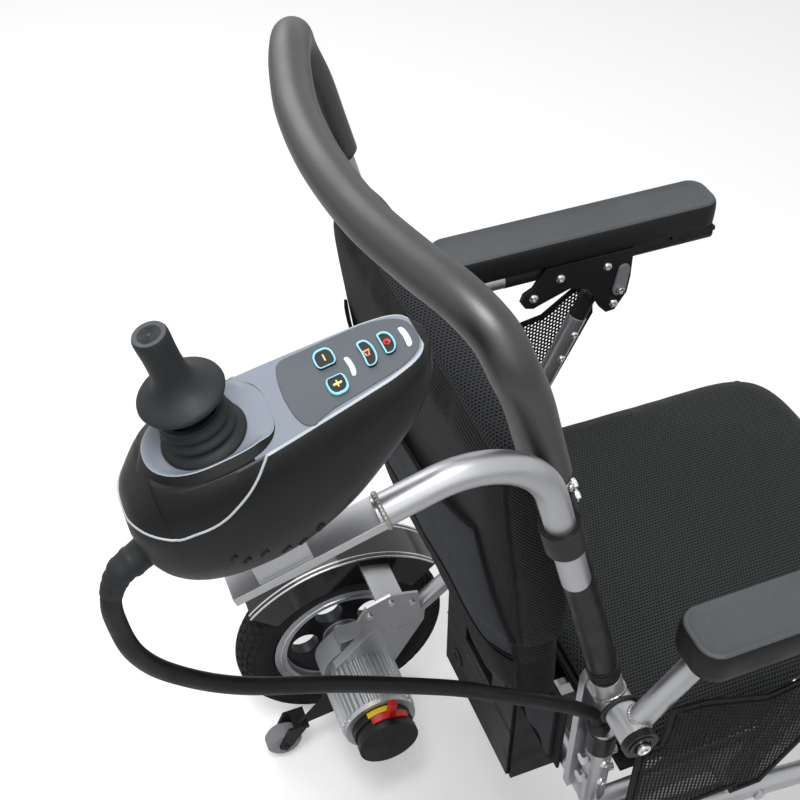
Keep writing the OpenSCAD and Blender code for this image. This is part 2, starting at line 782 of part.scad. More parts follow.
module arm_pad() {
    h = pad_thick;
    levels = [[0, 4], [3, 0.5], [h * 0.6, 0], [h - 3.5, 1.5], [h - 0.8, 3.5], [h, 6.5],
        [h - 1.4, 10], [h - 2, 18]];
    color("dimgray") skin([for (l = levels) [
        for (j = [0 : 39])
            let (p = round_box(360 * j / 40, pad_w / 2 - l[1], pad_length / 2 - l[1], 4))
            [pad_x + p[0], p[1] - pad_rear_gap - pad_length / 2, pad_z0 + l[0]]]]);
}

// Front frame, footplate and casters

module side_tube() {
    corner = [side_x, -caster_y, caster_front_z];
    back_dir = [0, cos(side_slope), sin(side_slope)];
    turn = 90 - side_slope;
    lead = tube_bend * tan(turn / 2);
    centre = corner + lead * back_dir - tube_bend * [0, -sin(side_slope), cos(side_slope)];
    difference() {
        union() {
            xrod(side_x - tube_r - 1, side_x + tube_r + 1, side_pin_d / 2 + 7, [0, rail_z]);
            rod([side_x, 0, rail_z], corner + (lead - bend_lap) * back_dir, tube_r);
        }
        xrod(side_x - 30, side_x + 30, side_pin_d / 2 + pin_fit, [0, rail_z]);
        xrod(side_x - 30, side_x + 30, cross_pin_d / 2 + pin_fit, [cross_y, cross_z]);
    }
    elbow(centre, 180 + side_slope, turn, tube_bend);
    rod(corner - [0, 0, lead - bend_lap], [side_x, -caster_y, front_bar_z - 12], tube_r);
}

hanger_x = 70;
hanger_end = [-foot_hinge_y, foot_z + 5];
foot_tube_x = hanger_x + 16;
foot_pin_r = 6;
stem_r = 10;
head_r = 18;
bar_r = tube_r - 1;

module front_frame() {
    color("silver") {
        both() {
            side_tube();
            difference() {
                union() {
                    translate([caster_x, -caster_y, head_z0])
                        cylinder(h = head_z1 - head_z0, r = head_r);
                    xrod(caster_x, side_x, bar_r, [-caster_y, front_bar_z]);
                }
                translate([caster_x, -caster_y, head_z0 - 1])
                    cylinder(h = head_z1 - head_z0 - 3, r = stem_r + pin_fit);
            }
        }
        xrod(-caster_x + head_r - 2, caster_x - head_r + 2, bar_r, [-caster_y, front_bar_z]);
        difference() {
            union() {
                xrod(-foot_tube_x, foot_tube_x, foot_pin_r + 5, hanger_end);
                both() rod([hanger_x, -caster_y, front_bar_z],
                    [hanger_x, hanger_end[0], hanger_end[1]], tube_r - 2);
            }
            xrod(-foot_tube_x - 4, foot_tube_x + 4, foot_pin_r + pin_fit, hanger_end);
        }
    }
}

module footplate() {
    ear_x = foot_tube_x + running_gap;
    ear_y = hanger_end[0];
    foot_z0 = foot_z - 8;
    color("dimgray") {
        xrod(-ear_x - 8, ear_x + 8, foot_pin_r, hanger_end);
        both() plate(ear_x, ear_x + 8, [[ear_y + 9, foot_z - 4], [ear_y + 9, foot_z + 12],
            [ear_y - 9, foot_z + 14], [40 - foot_front, foot_z + 0.5], [40 - foot_front, foot_z0],
            [ear_y - 13, foot_z0]]);
        block([-foot_w / 2, -foot_front, foot_z0], [foot_w / 2, ear_y - 14, foot_z]);
    }
}

fork_gap = caster_tyre_d / 2 + 5;
caster_axle_y = -caster_y + caster_trail;

module caster_fork() {
    crown_z = caster_r * 2 + 10;
    crown_top = crown_z + 10;
    leg_rear = caster_axle_y + 14;
    leg_front = caster_axle_y - 14;
    leg_thick = 5;
    hub_half = caster_tyre_d / 2 - 3;
    collar_x = caster_x + (hub_half + fork_gap) / 2;
    collar_half = (fork_gap - hub_half) / 2 - running_gap;
    caster_axle = [caster_axle_y, caster_r];
    color("gainsboro") {
        translate([caster_x, -caster_y, crown_z]) cylinder(h = head_z1 - 8 - crown_z, r = stem_r);
        translate([caster_x, -caster_y, crown_z])
            cylinder(h = head_z0 - running_gap - crown_z, r = head_r);
        block([caster_x - fork_gap - leg_thick, -caster_y - 20, crown_z],
            [caster_x + fork_gap + leg_thick, leg_rear, crown_top]);
        xrod(caster_x - fork_gap - 8, caster_x + fork_gap + 8, 5, caster_axle);
        for (s = [0, 1])
            translate([2 * s * caster_x, 0, 0]) mirror([s, 0, 0]) {
                plate(caster_x + fork_gap, caster_x + fork_gap + leg_thick, [
                    [-caster_y - 20, crown_top], [leg_rear, crown_top],
                    [leg_rear, caster_r - 10], [leg_front, caster_r - 10]]);
                xrod(collar_x - collar_half, collar_x + collar_half, 8, caster_axle);
            }
    }
}

module caster_wheel() {
    ring_r = caster_r - caster_tyre_d / 2;
    hub_half = caster_tyre_d / 2 - 3;
    color("dimgray") {
        xarc(0, 360, [caster_axle_y, caster_r]) translate([ring_r, caster_x])
            circle(r = caster_tyre_d / 2);
        difference() {
            xrod(caster_x - hub_half, caster_x + hub_half, ring_r - 2, [caster_axle_y, caster_r]);
            xrod(caster_x - 60, caster_x + 60, 5 + pin_fit, [caster_axle_y, caster_r]);
            xarc(0, 360, [caster_axle_y, caster_r]) translate([ring_r, caster_x])
                circle(r = caster_tyre_d / 2 + 0.02);
        }
    }
}

// Rear frame: leg tubes, plates, fenders, motors and anti-tip arms

axle = [axle_y, wheel_r];
gearbox_r = 46;
gearbox_x0 = 198;
gearbox_x1 = wheel_x - tyre_d / 2 - 4;
fender_r = wheel_r + 23;
lip_r = fender_r - 9;
fender_half = tyre_d / 2 + 3;
fender_x0 = wheel_x - fender_half;
fender_skirt = 42;
leg_plate_x0 = leg_x - 6;
leg_plate_x1 = leg_x + 6;
strap_x0 = leg_plate_x0 - 12;
strap_thick = 4;
tip_wheel_r = 24;
tip_at = [206, 31];
tip_x = 200;
slide_dir = unit([slide_y - cross_y, rail_z - cross_z]);

module leg_tube() {
    knee = [cross_y, cross_z];
    tip = [slide_y, rail_z] - 20 * slide_dir;
    rod([leg_x, knee[0], knee[1]], [leg_x, tip[0], tip[1]], tube_r);
    xrod(leg_x - tube_r - 2, leg_x + tube_r + 2, tube_r + 4, knee);
    plate(leg_x - 4, leg_x + 4, [tip + [20, -11], tip + [20, 2], [slide_y, rail_z + 8],
        [slide_y - 7, rail_z], [slide_y, rail_z - 8]]);
    xrod(leg_x, rail_x + 4, slide_pin_d / 2, [slide_y, rail_z]);
    rod([leg_x, knee[0], knee[1]], [leg_x, gusset_y, gusset_z], tube_r);
    xrod(leg_x, side_x + tube_r + 2, cross_pin_d / 2, knee);
    gusset = [gusset_y, gusset_z];
    plate(leg_plate_x0, leg_plate_x1, [gusset + [-36, 34], gusset + [4, 38], axle + [34, 40],
        axle + [40, -20], axle + [-20, -46], axle + [-44, 10], gusset + [-34, -4]]);
}

module rear_frame() {
    color("silver") difference() {
        union() {
            both() {
                leg_tube();
                plate(strap_x0, strap_x0 + strap_thick, [[18, 250], [99, 262], [104, 284], [92, 306],
                    [60, 316], [24, 306]]);
                block([strap_x0, 20, 250], [leg_plate_x0 + 1, 60, 262]);
                xarc(188, 14, axle) translate([lip_r - strap_thick - 0.2, strap_x0])
                    square([strap_thick, fender_x0 - 0.2 - strap_x0]);
            }
            xrod(-leg_x, leg_x, tube_r - 1, [cross_y, cross_z]);
        }
        both() xrod(leg_plate_x0 - 2, leg_plate_x1 + 2, motor_d / 2 - 4, axle);
    }
}

module fenders() {
    color("black") both() xarc(134, 93, axle) {
        translate([fender_r, fender_x0]) square([3, 2 * fender_half]);
        translate([fender_r - fender_skirt, fender_x0]) square([fender_skirt + 0.5, 2]);
        translate([lip_r, fender_x0 + 2 * fender_half - 2]) square([9.5, 2]);
    }
}

module motors() {
    fins = 40;
    fin_r = motor_d / 2 + 10;
    root_r = fin_r - 4;
    cap_end = motor_end_x + 30;
    flange = 7;
    color("gainsboro") both() {
        xrod(cap_end, cap_end + flange + 0.2, fin_r - 2, axle);
        translate([cap_end + flange, axle[0], axle[1]]) rotate([90, 0, 90])
            linear_extrude(gearbox_x0 - 20 - cap_end - flange)
            polygon([for (i = [0 : 4 * fins - 1])
                let (a = 90 * i / fins, r = i % 4 < 2 ? fin_r : root_r)
                [r * cos(a), r * sin(a)]]);
        xrod(gearbox_x0 - 20, gearbox_x0 - 0.1, motor_d / 2 - 4.2, axle);
    }
}

module gearboxes() {
    color("silver") both() difference() {
        union() {
            xrod(gearbox_x0, gearbox_x1, gearbox_r, axle);
            block([gearbox_x0, axle_y - 20, wheel_r + 20],
                [gearbox_x1 - 8, axle_y + 20, wheel_r + 62]);
            xrod(gearbox_x1, gearbox_x1 + 3, 22, axle);
        }
        xrod(gearbox_x1 - 14, gearbox_x1 + 5, 9 + pin_fit, axle);
    }
}

module motor_caps() {
    color("dimgray") both() difference() {
        xrod(motor_end_x, motor_end_x + 29.8, motor_d / 2, axle);
        difference() {
            xrod(motor_end_x + 9, motor_end_x + 19, motor_d / 2 + 1, axle);
            xrod(motor_end_x + 8, motor_end_x + 20, motor_d / 2 - 3, axle);
        }
    }
}

module release_lever() {
    inner = motor_d / 2 - 3 + running_gap;
    x0 = motor_end_x + 9.5;
    color("red") {
        xarc(155, 70, axle) translate([inner, x0]) square([5.5, 9]);
        translate([x0, axle[0], axle[1]]) rotate([10, 0, 0])
            translate([0, -4, inner + 1]) cube([9, 8, 27]);
    }
}

module anti_tip_brackets() {
    color("dimgray") both() {
        plate(leg_plate_x1 + 0.2, leg_plate_x1 + 4.2, [axle + [-10, -50], axle + [42, -14],
            axle + [52, -40], tip_at + [-18, 32], axle + [10, -70]]);
        block([tip_x - 15.5, tip_at[0] - 34, tip_at[1] + 30],
            [tip_x + 15.5, tip_at[0] - 14, tip_at[1] + 36]);
        for (s = [-1, 1])
            plate(tip_x + s * 13.5 - 2, tip_x + s * 13.5 + 2, [tip_at + [-34, 36], tip_at + [-6, 36],
                tip_at + [9, 0], tip_at + [0, -9], tip_at + [-9, 0]]);
        xrod(tip_x - 17, tip_x + 17, 4, tip_at);
    }
}

module tip_wheel() {
    half = 11;
    r = tip_wheel_r;
    bore = 4 + pin_fit;
    profile = [[bore, -half], [r - 4, -half], [r, 4 - half], [r, half - 4], [r - 4, half], [bore, half]];
    color("lightgray") xarc(0, 360, tip_at) translate([0, tip_x]) polygon(profile);
}

module rear_rivets() {
    color("gray") both() for (p = [[32, 290], [60, 302], [88, 288]])
        xrod(strap_x0 - 2.5, strap_x0, 4, p);
}

module drive_tyre() {
    ring_r = wheel_r - tyre_d / 2;
    color("dimgray") xarc(0, 360, axle) translate([ring_r, wheel_x]) circle(r = tyre_d / 2);
}

module drive_rim() {
    ring_r = wheel_r - tyre_d / 2;
    half = tyre_d / 2 - 8;
    spokes = 5;
    color("silver") difference() {
        union() {
            difference() {
                xrod(wheel_x - half, wheel_x + half, ring_r - 4, axle);
                xrod(wheel_x - half - 1, wheel_x + half + 1, ring_r - tyre_d / 2 - 8, axle);
                xarc(0, 360, axle) translate([ring_r, wheel_x]) circle(r = tyre_d / 2 + 0.02);
            }
            xrod(wheel_x - 8, wheel_x + 8, ring_r - tyre_d / 2 - 6, axle);
            xrod(gearbox_x1 + 3 + running_gap, wheel_x + 14, 26, axle);
        }
        for (i = [0 : spokes - 1])
            xrod(wheel_x - 9, wheel_x + 9, 19,
                axle + 52 * [cos(360 * i / spokes), sin(360 * i / spokes)]);
    }
    color("silver") xrod(gearbox_x1 - 13, gearbox_x1 + 5, 9, axle);
}

module left_arm_tubes() { arm_tubes(); }
module left_arm_bracket() { arm_bracket(); }
module left_arm_pad() { arm_pad(); }
module left_arm_latch() { arm_latch(); }
module right_arm_tubes() { mirror([1, 0, 0]) arm_tubes(); }
module right_arm_bracket() { mirror([1, 0, 0]) arm_bracket(); }
module right_arm_pad() { mirror([1, 0, 0]) arm_pad(); }
module right_arm_latch() { mirror([1, 0, 0]) arm_latch(); }
module left_caster_fork() { caster_fork(); }
module left_caster_wheel() { caster_wheel(); }
module right_caster_fork() { mirror([1, 0, 0]) caster_fork(); }
module right_caster_wheel() { mirror([1, 0, 0]) caster_wheel(); }
module left_release_lever() { release_lever(); }
module right_release_lever() { mirror([1, 0, 0]) release_lever(); }
module left_tyre() { drive_tyre(); }
module left_rim() { drive_rim(); }
module right_tyre() { mirror([1, 0, 0]) drive_tyre(); }
module right_rim() { mirror([1, 0, 0]) drive_rim(); }
module left_anti_tip_wheel() { tip_wheel(); }
module right_anti_tip_wheel() { mirror([1, 0, 0]) tip_wheel(); }
module minus_button() { color("gold") push_button(0); }
module plus_button() { color("gold") push_button(1); }
module horn_button() { color("orange") push_button(2); }
module power_button() { color("red") push_button(3); }

translate([0, y_shift, 0]) {
    seat_frame();
    hinge_axles();
    hinge_caps();
    seat_board();
    seat_cushion();
    battery_tray();
    side_guards();
    rear_skirt();
    frame_bolts();
    battery_pack();
    back_tube();
    hinge_barrels();
    foam_grip();
    back_cover();
    back_pocket();
    post_sleeves();
    control_arm();
    arm_clip();
    controller_base();
    controller_top();
    keypad_panel();
    joystick_base();
    joystick_boot();
    cable_gland();
    controller_cable();
    joystick_gimbal();
    joystick_stick();
    minus_button();
    plus_button();
    horn_button();
    power_button();
    left_arm_tubes();
    left_arm_bracket();
    left_arm_pad();
    left_arm_latch();
    right_arm_tubes();
    right_arm_bracket();
    right_arm_pad();
    right_arm_latch();
    front_frame();
    footplate();
    left_caster_fork();
    left_caster_wheel();
    right_caster_fork();
    right_caster_wheel();
    rear_frame();
    fenders();
    motors();
    gearboxes();
    motor_caps();
    anti_tip_brackets();
    rear_rivets();
    left_release_lever();
    right_release_lever();
    left_tyre();
    left_rim();
    right_tyre();
    right_rim();
    left_anti_tip_wheel();
    right_anti_tip_wheel();
}
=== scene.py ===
"""Dresses the folding power wheelchair: finishes, soft goods, fasteners and studio.

Lengths in the classes are drawing millimetres: x to the chair's left, y back from the
back hinge, z up from the floor. Assembly.at() turns them into the model's metres.
"""

from __future__ import annotations

import json
import logging
import math
from dataclasses import dataclass, field
from enum import Enum
from functools import cache
from typing import Callable, Sequence

import bmesh
import bpy
import numpy as np
from mathutils import Matrix, Quaternion, Vector
from mathutils.bvhtree import BVHTree

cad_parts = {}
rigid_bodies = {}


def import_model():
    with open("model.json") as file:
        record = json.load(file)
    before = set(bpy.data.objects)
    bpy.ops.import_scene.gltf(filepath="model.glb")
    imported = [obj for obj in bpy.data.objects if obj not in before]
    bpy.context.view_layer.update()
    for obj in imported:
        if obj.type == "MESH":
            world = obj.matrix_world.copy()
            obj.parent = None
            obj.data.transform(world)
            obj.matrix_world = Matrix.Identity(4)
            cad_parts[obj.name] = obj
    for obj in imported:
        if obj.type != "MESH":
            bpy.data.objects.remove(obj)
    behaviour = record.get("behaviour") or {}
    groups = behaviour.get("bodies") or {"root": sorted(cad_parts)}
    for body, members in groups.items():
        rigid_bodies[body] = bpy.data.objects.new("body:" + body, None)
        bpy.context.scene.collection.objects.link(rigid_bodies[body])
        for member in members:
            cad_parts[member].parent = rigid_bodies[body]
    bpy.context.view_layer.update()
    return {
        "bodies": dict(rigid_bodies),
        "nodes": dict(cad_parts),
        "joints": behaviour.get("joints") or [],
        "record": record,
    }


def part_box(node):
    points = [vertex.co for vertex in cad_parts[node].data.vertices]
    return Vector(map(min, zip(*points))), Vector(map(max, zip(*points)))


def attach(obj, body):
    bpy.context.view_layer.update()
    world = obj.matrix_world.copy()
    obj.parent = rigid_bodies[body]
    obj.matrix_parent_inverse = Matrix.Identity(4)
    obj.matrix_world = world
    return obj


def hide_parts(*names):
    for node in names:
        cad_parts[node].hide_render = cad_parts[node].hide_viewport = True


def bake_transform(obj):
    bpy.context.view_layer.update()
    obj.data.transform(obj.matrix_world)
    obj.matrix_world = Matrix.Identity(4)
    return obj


MM = 0.001
LOG = logging.getLogger("wheelchair")
Pair = tuple[float, float]
Triple = tuple[float, float, float]
Box = tuple[float, float, float, float]
Colour = Triple
Display = tuple[int, int, int]
Node = bpy.types.Node
Outputs = bpy.types.NodeOutputs
Piece = bpy.types.Object
Socket = bpy.types.NodeSocket
Tree = bpy.types.NodeTree
Surface = tuple[object, object, object, object]
Finder = Callable[[Vector, Vector], Vector | None]


class BoltKind(Enum):
    """Fastener heads: reach and height as shares of the radius, and whether six-sided there."""

    HEX = ((1.2, -0.1, False), (1.2, 0.12, False), (0.9, 0.14, True), (0.9, 0.75, True),
           (0.8, 0.85, False), (0.1, 0.88, False))
    SOCKET = ((1.0, -0.1, False), (1.0, 0.8, False), (0.9, 0.92, False), (0.56, 0.92, True),
              (0.5, 0.5, True), (0.05, 0.42, False))
    BUTTON = ((1.0, -0.1, False), (1.0, 0.14, False), (0.86, 0.38, False), (0.6, 0.52, False),
              (0.46, 0.54, True), (0.4, 0.2, True), (0.05, 0.16, False))


class Side(Enum):
    """Sides of the chair, as the sign of x."""

    LEFT = 1
    RIGHT = -1

    @property
    def word(self) -> str:
        """Name of the side in lower case."""
        return self.name.lower()


class Symbol(Enum):
    """Marks on the four keys of the controller."""

    MINUS = "minus"
    PLUS = "plus"
    HORN = "horn"
    POWER = "power"


def tone(colour: Display) -> Colour:
    """Turns a display colour into linear light.

    Args:
        colour: display values from 0 to 255.

    Returns:
        The same colour in linear values from 0 to 1.
    """
    out = []
    for value in colour:
        share = value / 255
        out.append(share / 12.92 if share <= 0.04045 else ((share + 0.055) / 1.055) ** 2.4)
    return (out[0], out[1], out[2])


@dataclass(frozen=True)
class Assembly:
    """A sub-assembly, drawn in millimetres and placed in the model's frame."""

    shift: float

    def at(self, x: float, y: float, z: float) -> Vector:
        """A drawing point in metres."""
        return Vector((x * MM, y * MM + self.shift, z * MM))

    def line(self, points: Sequence[Sequence[float]]) -> list[Vector]:
        """Several drawing points in metres."""
        return [self.at(*p) for p in points]


# Node groups and finishes


class Wiring:
    """Adds and joins nodes in one node tree."""

    def __init__(self, tree: Tree) -> None:
        """Keeps the tree that the nodes go into."""
        self.tree = tree

    def add(self, kind: str, **values: object) -> Node:
        """Adds a node.

        Args:
            kind: the node's type.
            values: its attributes by name.

        Returns:
            The new node.
        """
        node = self.tree.nodes.new(kind)
        for key, value in values.items():
            setattr(node, key, value)
        return node

    def join(self, source: Socket, target: Socket) -> None:
        """Links two sockets."""
        self.tree.links.new(source, target)

    def feed(self, target: Socket, value: object) -> None:
        """Links a socket to the target, or sets the target to a plain value.

        Args:
            target: an input.
            value: a socket or a plain value.
        """
        if isinstance(value, Socket):
            self.join(value, target)
        else:
            target.default_value = value

    def fill(self, node: Node, **values: object) -> Node:
        """Feeds inputs of a node.

        Args:
            node: the node.
            values: sockets or plain values by input, with _ for a space.

        Returns:
            The node itself.
        """
        for key, value in values.items():
            self.feed(node.inputs[key.replace("_", " ")], value)
        return node

    def math(self, operation: str, a: object, b: object = 0.0, c: object = 0.0) -> Socket:
        """Adds a math node.

        Args:
            operation: the node's operation.
            a, b, c: sockets or numbers.

        Returns:
            The node's output.
        """
        node = self.add("ShaderNodeMath", operation=operation)
        for socket, value in zip(node.inputs, (a, b, c)):
            self.feed(socket, value)
        return node.outputs[0]

    def ramp(self, value: object, low: float, high: float, to_low: float = 0.0,
             to_high: float = 1.0) -> Socket:
        """Maps a value smoothly from one range to another.

        Args:
            value: the socket to map.
            low, high: range of the value.
            to_low, to_high: range of the result.

        Returns:
            The mapped value.
        """
        node = self.add("ShaderNodeMapRange", interpolation_type="SMOOTHSTEP")
        for socket, item in zip(node.inputs, (value, low, high, to_low, to_high)):
            self.feed(socket, item)
        return node.outputs[0]

    def mix(self, share: object, a: object, b: object, blend: str = "MIX") -> Socket:
        """Mixes two colours.

        Args:
            share: how much of b, as a socket or number.
            a, b: colours as sockets or triples.
            blend: the way they mix.

        Returns:
            The mixed colour.
        """
        node = self.add("ShaderNodeMix", data_type="RGBA", blend_type=blend)
        self.feed(node.inputs[0], share)
        for socket, value in ((node.inputs[6], a), (node.inputs[7], b)):
            self.feed(socket, value if isinstance(value, Socket) else (*value, 1.0))
        return node.outputs[2]

    def tint(self, colour: object, value: Socket) -> Socket:
        """Darkens or lightens a colour.

        Args:
            colour: a socket or triple.
            value: what it is multiplied by.

        Returns:
            The new colour.
        """
        grey = self.add("ShaderNodeCombineColor")
        for socket in grey.inputs:
            self.join(value, socket)
        return self.mix(1.0, colour, grey.outputs[0], "MULTIPLY")

    def noise(self, vector: Socket, scale: object, detail: float = 3.0) -> Socket:
        """A noise texture's value, from 0 to 1."""
        node = self.add("ShaderNodeTexNoise")
        return self.fill(node, Vector=vector, Scale=scale, Detail=detail).outputs[0]

    def split(self, vector: Socket) -> Outputs:
        """The parts of a vector, by X, Y and Z."""
        return self.fill(self.add("ShaderNodeSeparateXYZ"), Vector=vector).outputs

    def use(self, group: Tree, **values: object) -> Outputs:
        """Places a node group, fed by input name, and gives its outputs."""
        return self.fill(self.add("ShaderNodeGroup", node_tree=group), **values).outputs


class Effects:
    """Shader node groups that several finishes share, each built once."""

    @staticmethod
    def _open(name: str, inputs: dict[str, float | None], outputs: Sequence[str]
              ) -> tuple[Tree, Wiring, Outputs, bpy.types.NodeInputs]:
        """Starts a group.

        Args:
            name: the group's name.
            inputs: default of each input by name, or None for a vector.
            outputs: names of the value outputs.

        Returns:
            The tree, its wiring, what comes in and what goes out.
        """
        tree = bpy.data.node_groups.new(name, "ShaderNodeTree")
        for title, default in inputs.items():
            kind = "NodeSocketVector" if default is None else "NodeSocketFloat"
            socket = tree.interface.new_socket(name=title, in_out="INPUT", socket_type=kind)
            if default is not None:
                socket.default_value = default
        for title in outputs:
            tree.interface.new_socket(name=title, in_out="OUTPUT", socket_type="NodeSocketFloat")
        wires = Wiring(tree)
        return tree, wires, wires.add("NodeGroupInput").outputs, wires.add("NodeGroupOutput").inputs

    @classmethod
    @cache
    def grain(cls) -> Tree:
        """Fine grain with slow colour drift: Shade about 1, Height from 0 to 1."""
        tree, wires, given, out = cls._open(
            "Grain", {"Vector": None, "Scale": 600.0, "Drift": 0.15}, ["Shade", "Height"])
        fine = wires.noise(given["Vector"], given["Scale"], 4.0)
        slow = wires.noise(given["Vector"], 11.0)
        both = wires.math("ADD", fine, slow)
        offset = wires.math("MULTIPLY", wires.math("SUBTRACT", both, 1.0), given["Drift"])
        wires.join(wires.math("ADD", offset, 1.0), out["Shade"])
        wires.join(fine, out["Height"])
        return tree

    @classmethod
    @cache
    def edge_wear(cls) -> Tree:
        """Rubbed edges: Mask is 1 on sharp edges, broken up by noise."""
        tree, wires, given, out = cls._open("Edge wear", {"Vector": None, "Amount": 0.5}, ["Mask"])
        soft = wires.fill(wires.add("ShaderNodeBevel", samples=4), Radius=0.0012)
        sharp = wires.add("ShaderNodeNewGeometry")
        turn = wires.add("ShaderNodeVectorMath", operation="DOT_PRODUCT")
        wires.join(soft.outputs[0], turn.inputs[0])
        wires.join(sharp.outputs["Normal"], turn.inputs[1])
        edge = wires.ramp(turn.outputs["Value"], 0.995, 0.86)
        broken = wires.ramp(wires.noise(given["Vector"], 160.0), 0.35, 0.65)
        rubbed = wires.math("MULTIPLY", edge, broken)
        wires.join(wires.math("MULTIPLY", rubbed, given["Amount"]), out["Mask"])
        return tree

    @classmethod
    @cache
    def smudge(cls) -> Tree:
        """Handling marks and dust: Mask in soft patches from 0 to 1."""
        tree, wires, given, out = cls._open("Smudge", {"Vector": None, "Scale": 30.0}, ["Mask"])
        patch = wires.noise(given["Vector"], given["Scale"], 6.0)
        wires.join(wires.ramp(patch, 0.42, 0.7), out["Mask"])
        return tree

    @classmethod
    @cache
    def holes(cls) -> Tree:
        """Open cloth: rows of oval holes, every other row set half a step along."""
        tree, wires, given, out = cls._open("Open cloth", {
            "Across": 0.0, "Along": 0.0, "Pitch across": 0.004, "Pitch along": 0.004, "Hole": 0.3},
            ["Hole", "Height"])
        row = wires.math("DIVIDE", given["Across"], given["Pitch across"])
        step = wires.math("DIVIDE", given["Along"], given["Pitch along"])
        odd = wires.math("FLOORED_MODULO", wires.math("FLOOR", row), 2.0)
        step = wires.math("ADD", step, wires.math("MULTIPLY", odd, 0.5))
        sides = [wires.math("SUBTRACT", wires.math("FRACT", turn), 0.5) for turn in (row, step)]
        squares = [wires.math("MULTIPLY", side, side) for side in sides]
        reach = wires.math("SQRT", wires.math("ADD", *squares))
        inside = wires.math("SUBTRACT", given["Hole"], reach)
        wires.join(wires.ramp(inside, -0.06, 0.06), out["Hole"])
        wires.join(wires.ramp(inside, 0.1, -0.2), out["Height"])
        return tree

    @classmethod
    @cache
    def ribs(cls) -> Tree:
        """Knitted ribs: Ridge runs from 0 in the groove to 1 on the rib."""
        tree, wires, given, out = cls._open("Ribs", {"Along": 0.0, "Pitch": 0.004}, ["Ridge"])
        turns = wires.math("DIVIDE", given["Along"], given["Pitch"])
        wave = wires.math("SINE", wires.math("MULTIPLY", turns, math.tau))
        wires.join(wires.math("MULTIPLY_ADD", wave, 0.5, 0.5), out["Ridge"])
        return tree

    @classmethod
    @cache
    def basket(cls) -> Tree:
        """Plain weave: Height of crossing threads, and Shade about 1, lighter where they rise and darker
        where they sink, as painted light and shade.
        """
        tree, wires, given, out = cls._open(
            "Basket weave", {"Across": 0.0, "Along": 0.0, "Pitch": 0.0016}, ["Height", "Shade"])
        waves = []
        for name in ("Across", "Along"):
            turns = wires.math("DIVIDE", given[name], given["Pitch"])
            waves.append(wires.math("SINE", wires.math("MULTIPLY", turns, math.tau)))
        cross = wires.math("MULTIPLY", *waves)
        wires.join(wires.math("MULTIPLY_ADD", cross, 0.5, 0.5), out["Height"])
        # Shade follows the threads' height: painted light on the raised threads and painted shade between
        # them.
        wires.join(wires.math("MULTIPLY_ADD", cross, 0.16, 1.0), out["Shade"])
        return tree


@dataclass(frozen=True)
class Finish:
    """A moulded, painted or metal surface with grain, rubbed edges and handling marks."""

    name: str
    colour: Display
    roughness: float = 0.5
    metallic: float = 0.0
    grain: float = 600.0
    depth: float = 0.00004
    drift: float = 0.15
    wear: Display = (149, 149, 149)
    wear_share: float = 0.25
    smudge: float = 0.08
    coat: float = 0.0
    coat_roughness: float = 0.06
    round_edge: float = 0.0008
    specular: float = 0.25

    @cache
    def material(self) -> bpy.types.Material:
        """The finish as a material, built on first use."""
        made = bpy.data.materials.new(self.name)
        made.use_nodes = True
        self._wire(made)
        made.diffuse_color = (*tone(self.colour), 1.0)
        return made

    def _surface(self, wires: Wiring, place: Socket) -> Surface:
        """The surface's grain, rubbed edges and marks.

        Args:
            wires: the material's wiring.
            place: the object coordinates.

        Returns:
            Sockets for colour, roughness and height, and for alpha or None.
        """
        grain = wires.use(Effects.grain(), Vector=place, Scale=self.grain, Drift=self.drift)
        colour = wires.tint(tone(self.colour), grain["Shade"])
        if self.wear_share > 0:
            worn = wires.use(Effects.edge_wear(), Vector=place, Amount=self.wear_share)
            colour = wires.mix(worn["Mask"], colour, tone(self.wear))
        return colour, self._rough(wires, place), grain["Height"], None

    def _rough(self, wires: Wiring, place: Socket) -> Socket:
        """Roughness with handling marks."""
        marks = wires.use(Effects.smudge(), Vector=place)
        return wires.math("MULTIPLY_ADD", marks["Mask"], self.smudge, self.roughness)

    def _constants(self) -> dict[str, float]:
        """Plain numbers of the shader, by input."""
        return {"Metallic": self.metallic, "Specular IOR Level": self.specular, "Coat Weight": self.coat,
                "Coat Roughness": self.coat_roughness}

    def _wire(self, made: bpy.types.Material) -> None:
        """Builds the node tree of the material.

        Args:
            made: the new material.
        """
        made.node_tree.nodes.clear()
        wires = Wiring(made.node_tree)
        out = wires.add("ShaderNodeOutputMaterial")
        shader = wires.add("ShaderNodeBsdfPrincipled")
        wires.join(shader.outputs[0], out.inputs["Surface"])
        place = wires.add("ShaderNodeTexCoord").outputs["Object"]
        colour, rough, height, alpha = self._surface(wires, place)
        bump = wires.fill(wires.add("ShaderNodeBump"), Strength=1.0, Distance=self.depth, Height=height)
        if self.round_edge > 0:
            soft = wires.fill(wires.add("ShaderNodeBevel", samples=4), Radius=self.round_edge)
            wires.fill(bump, Normal=soft.outputs[0])
        wires.fill(shader, Base_Color=colour, Roughness=rough, Normal=bump.outputs[0], **self._constants())
        if alpha is not None:
            wires.fill(shader, Alpha=alpha)


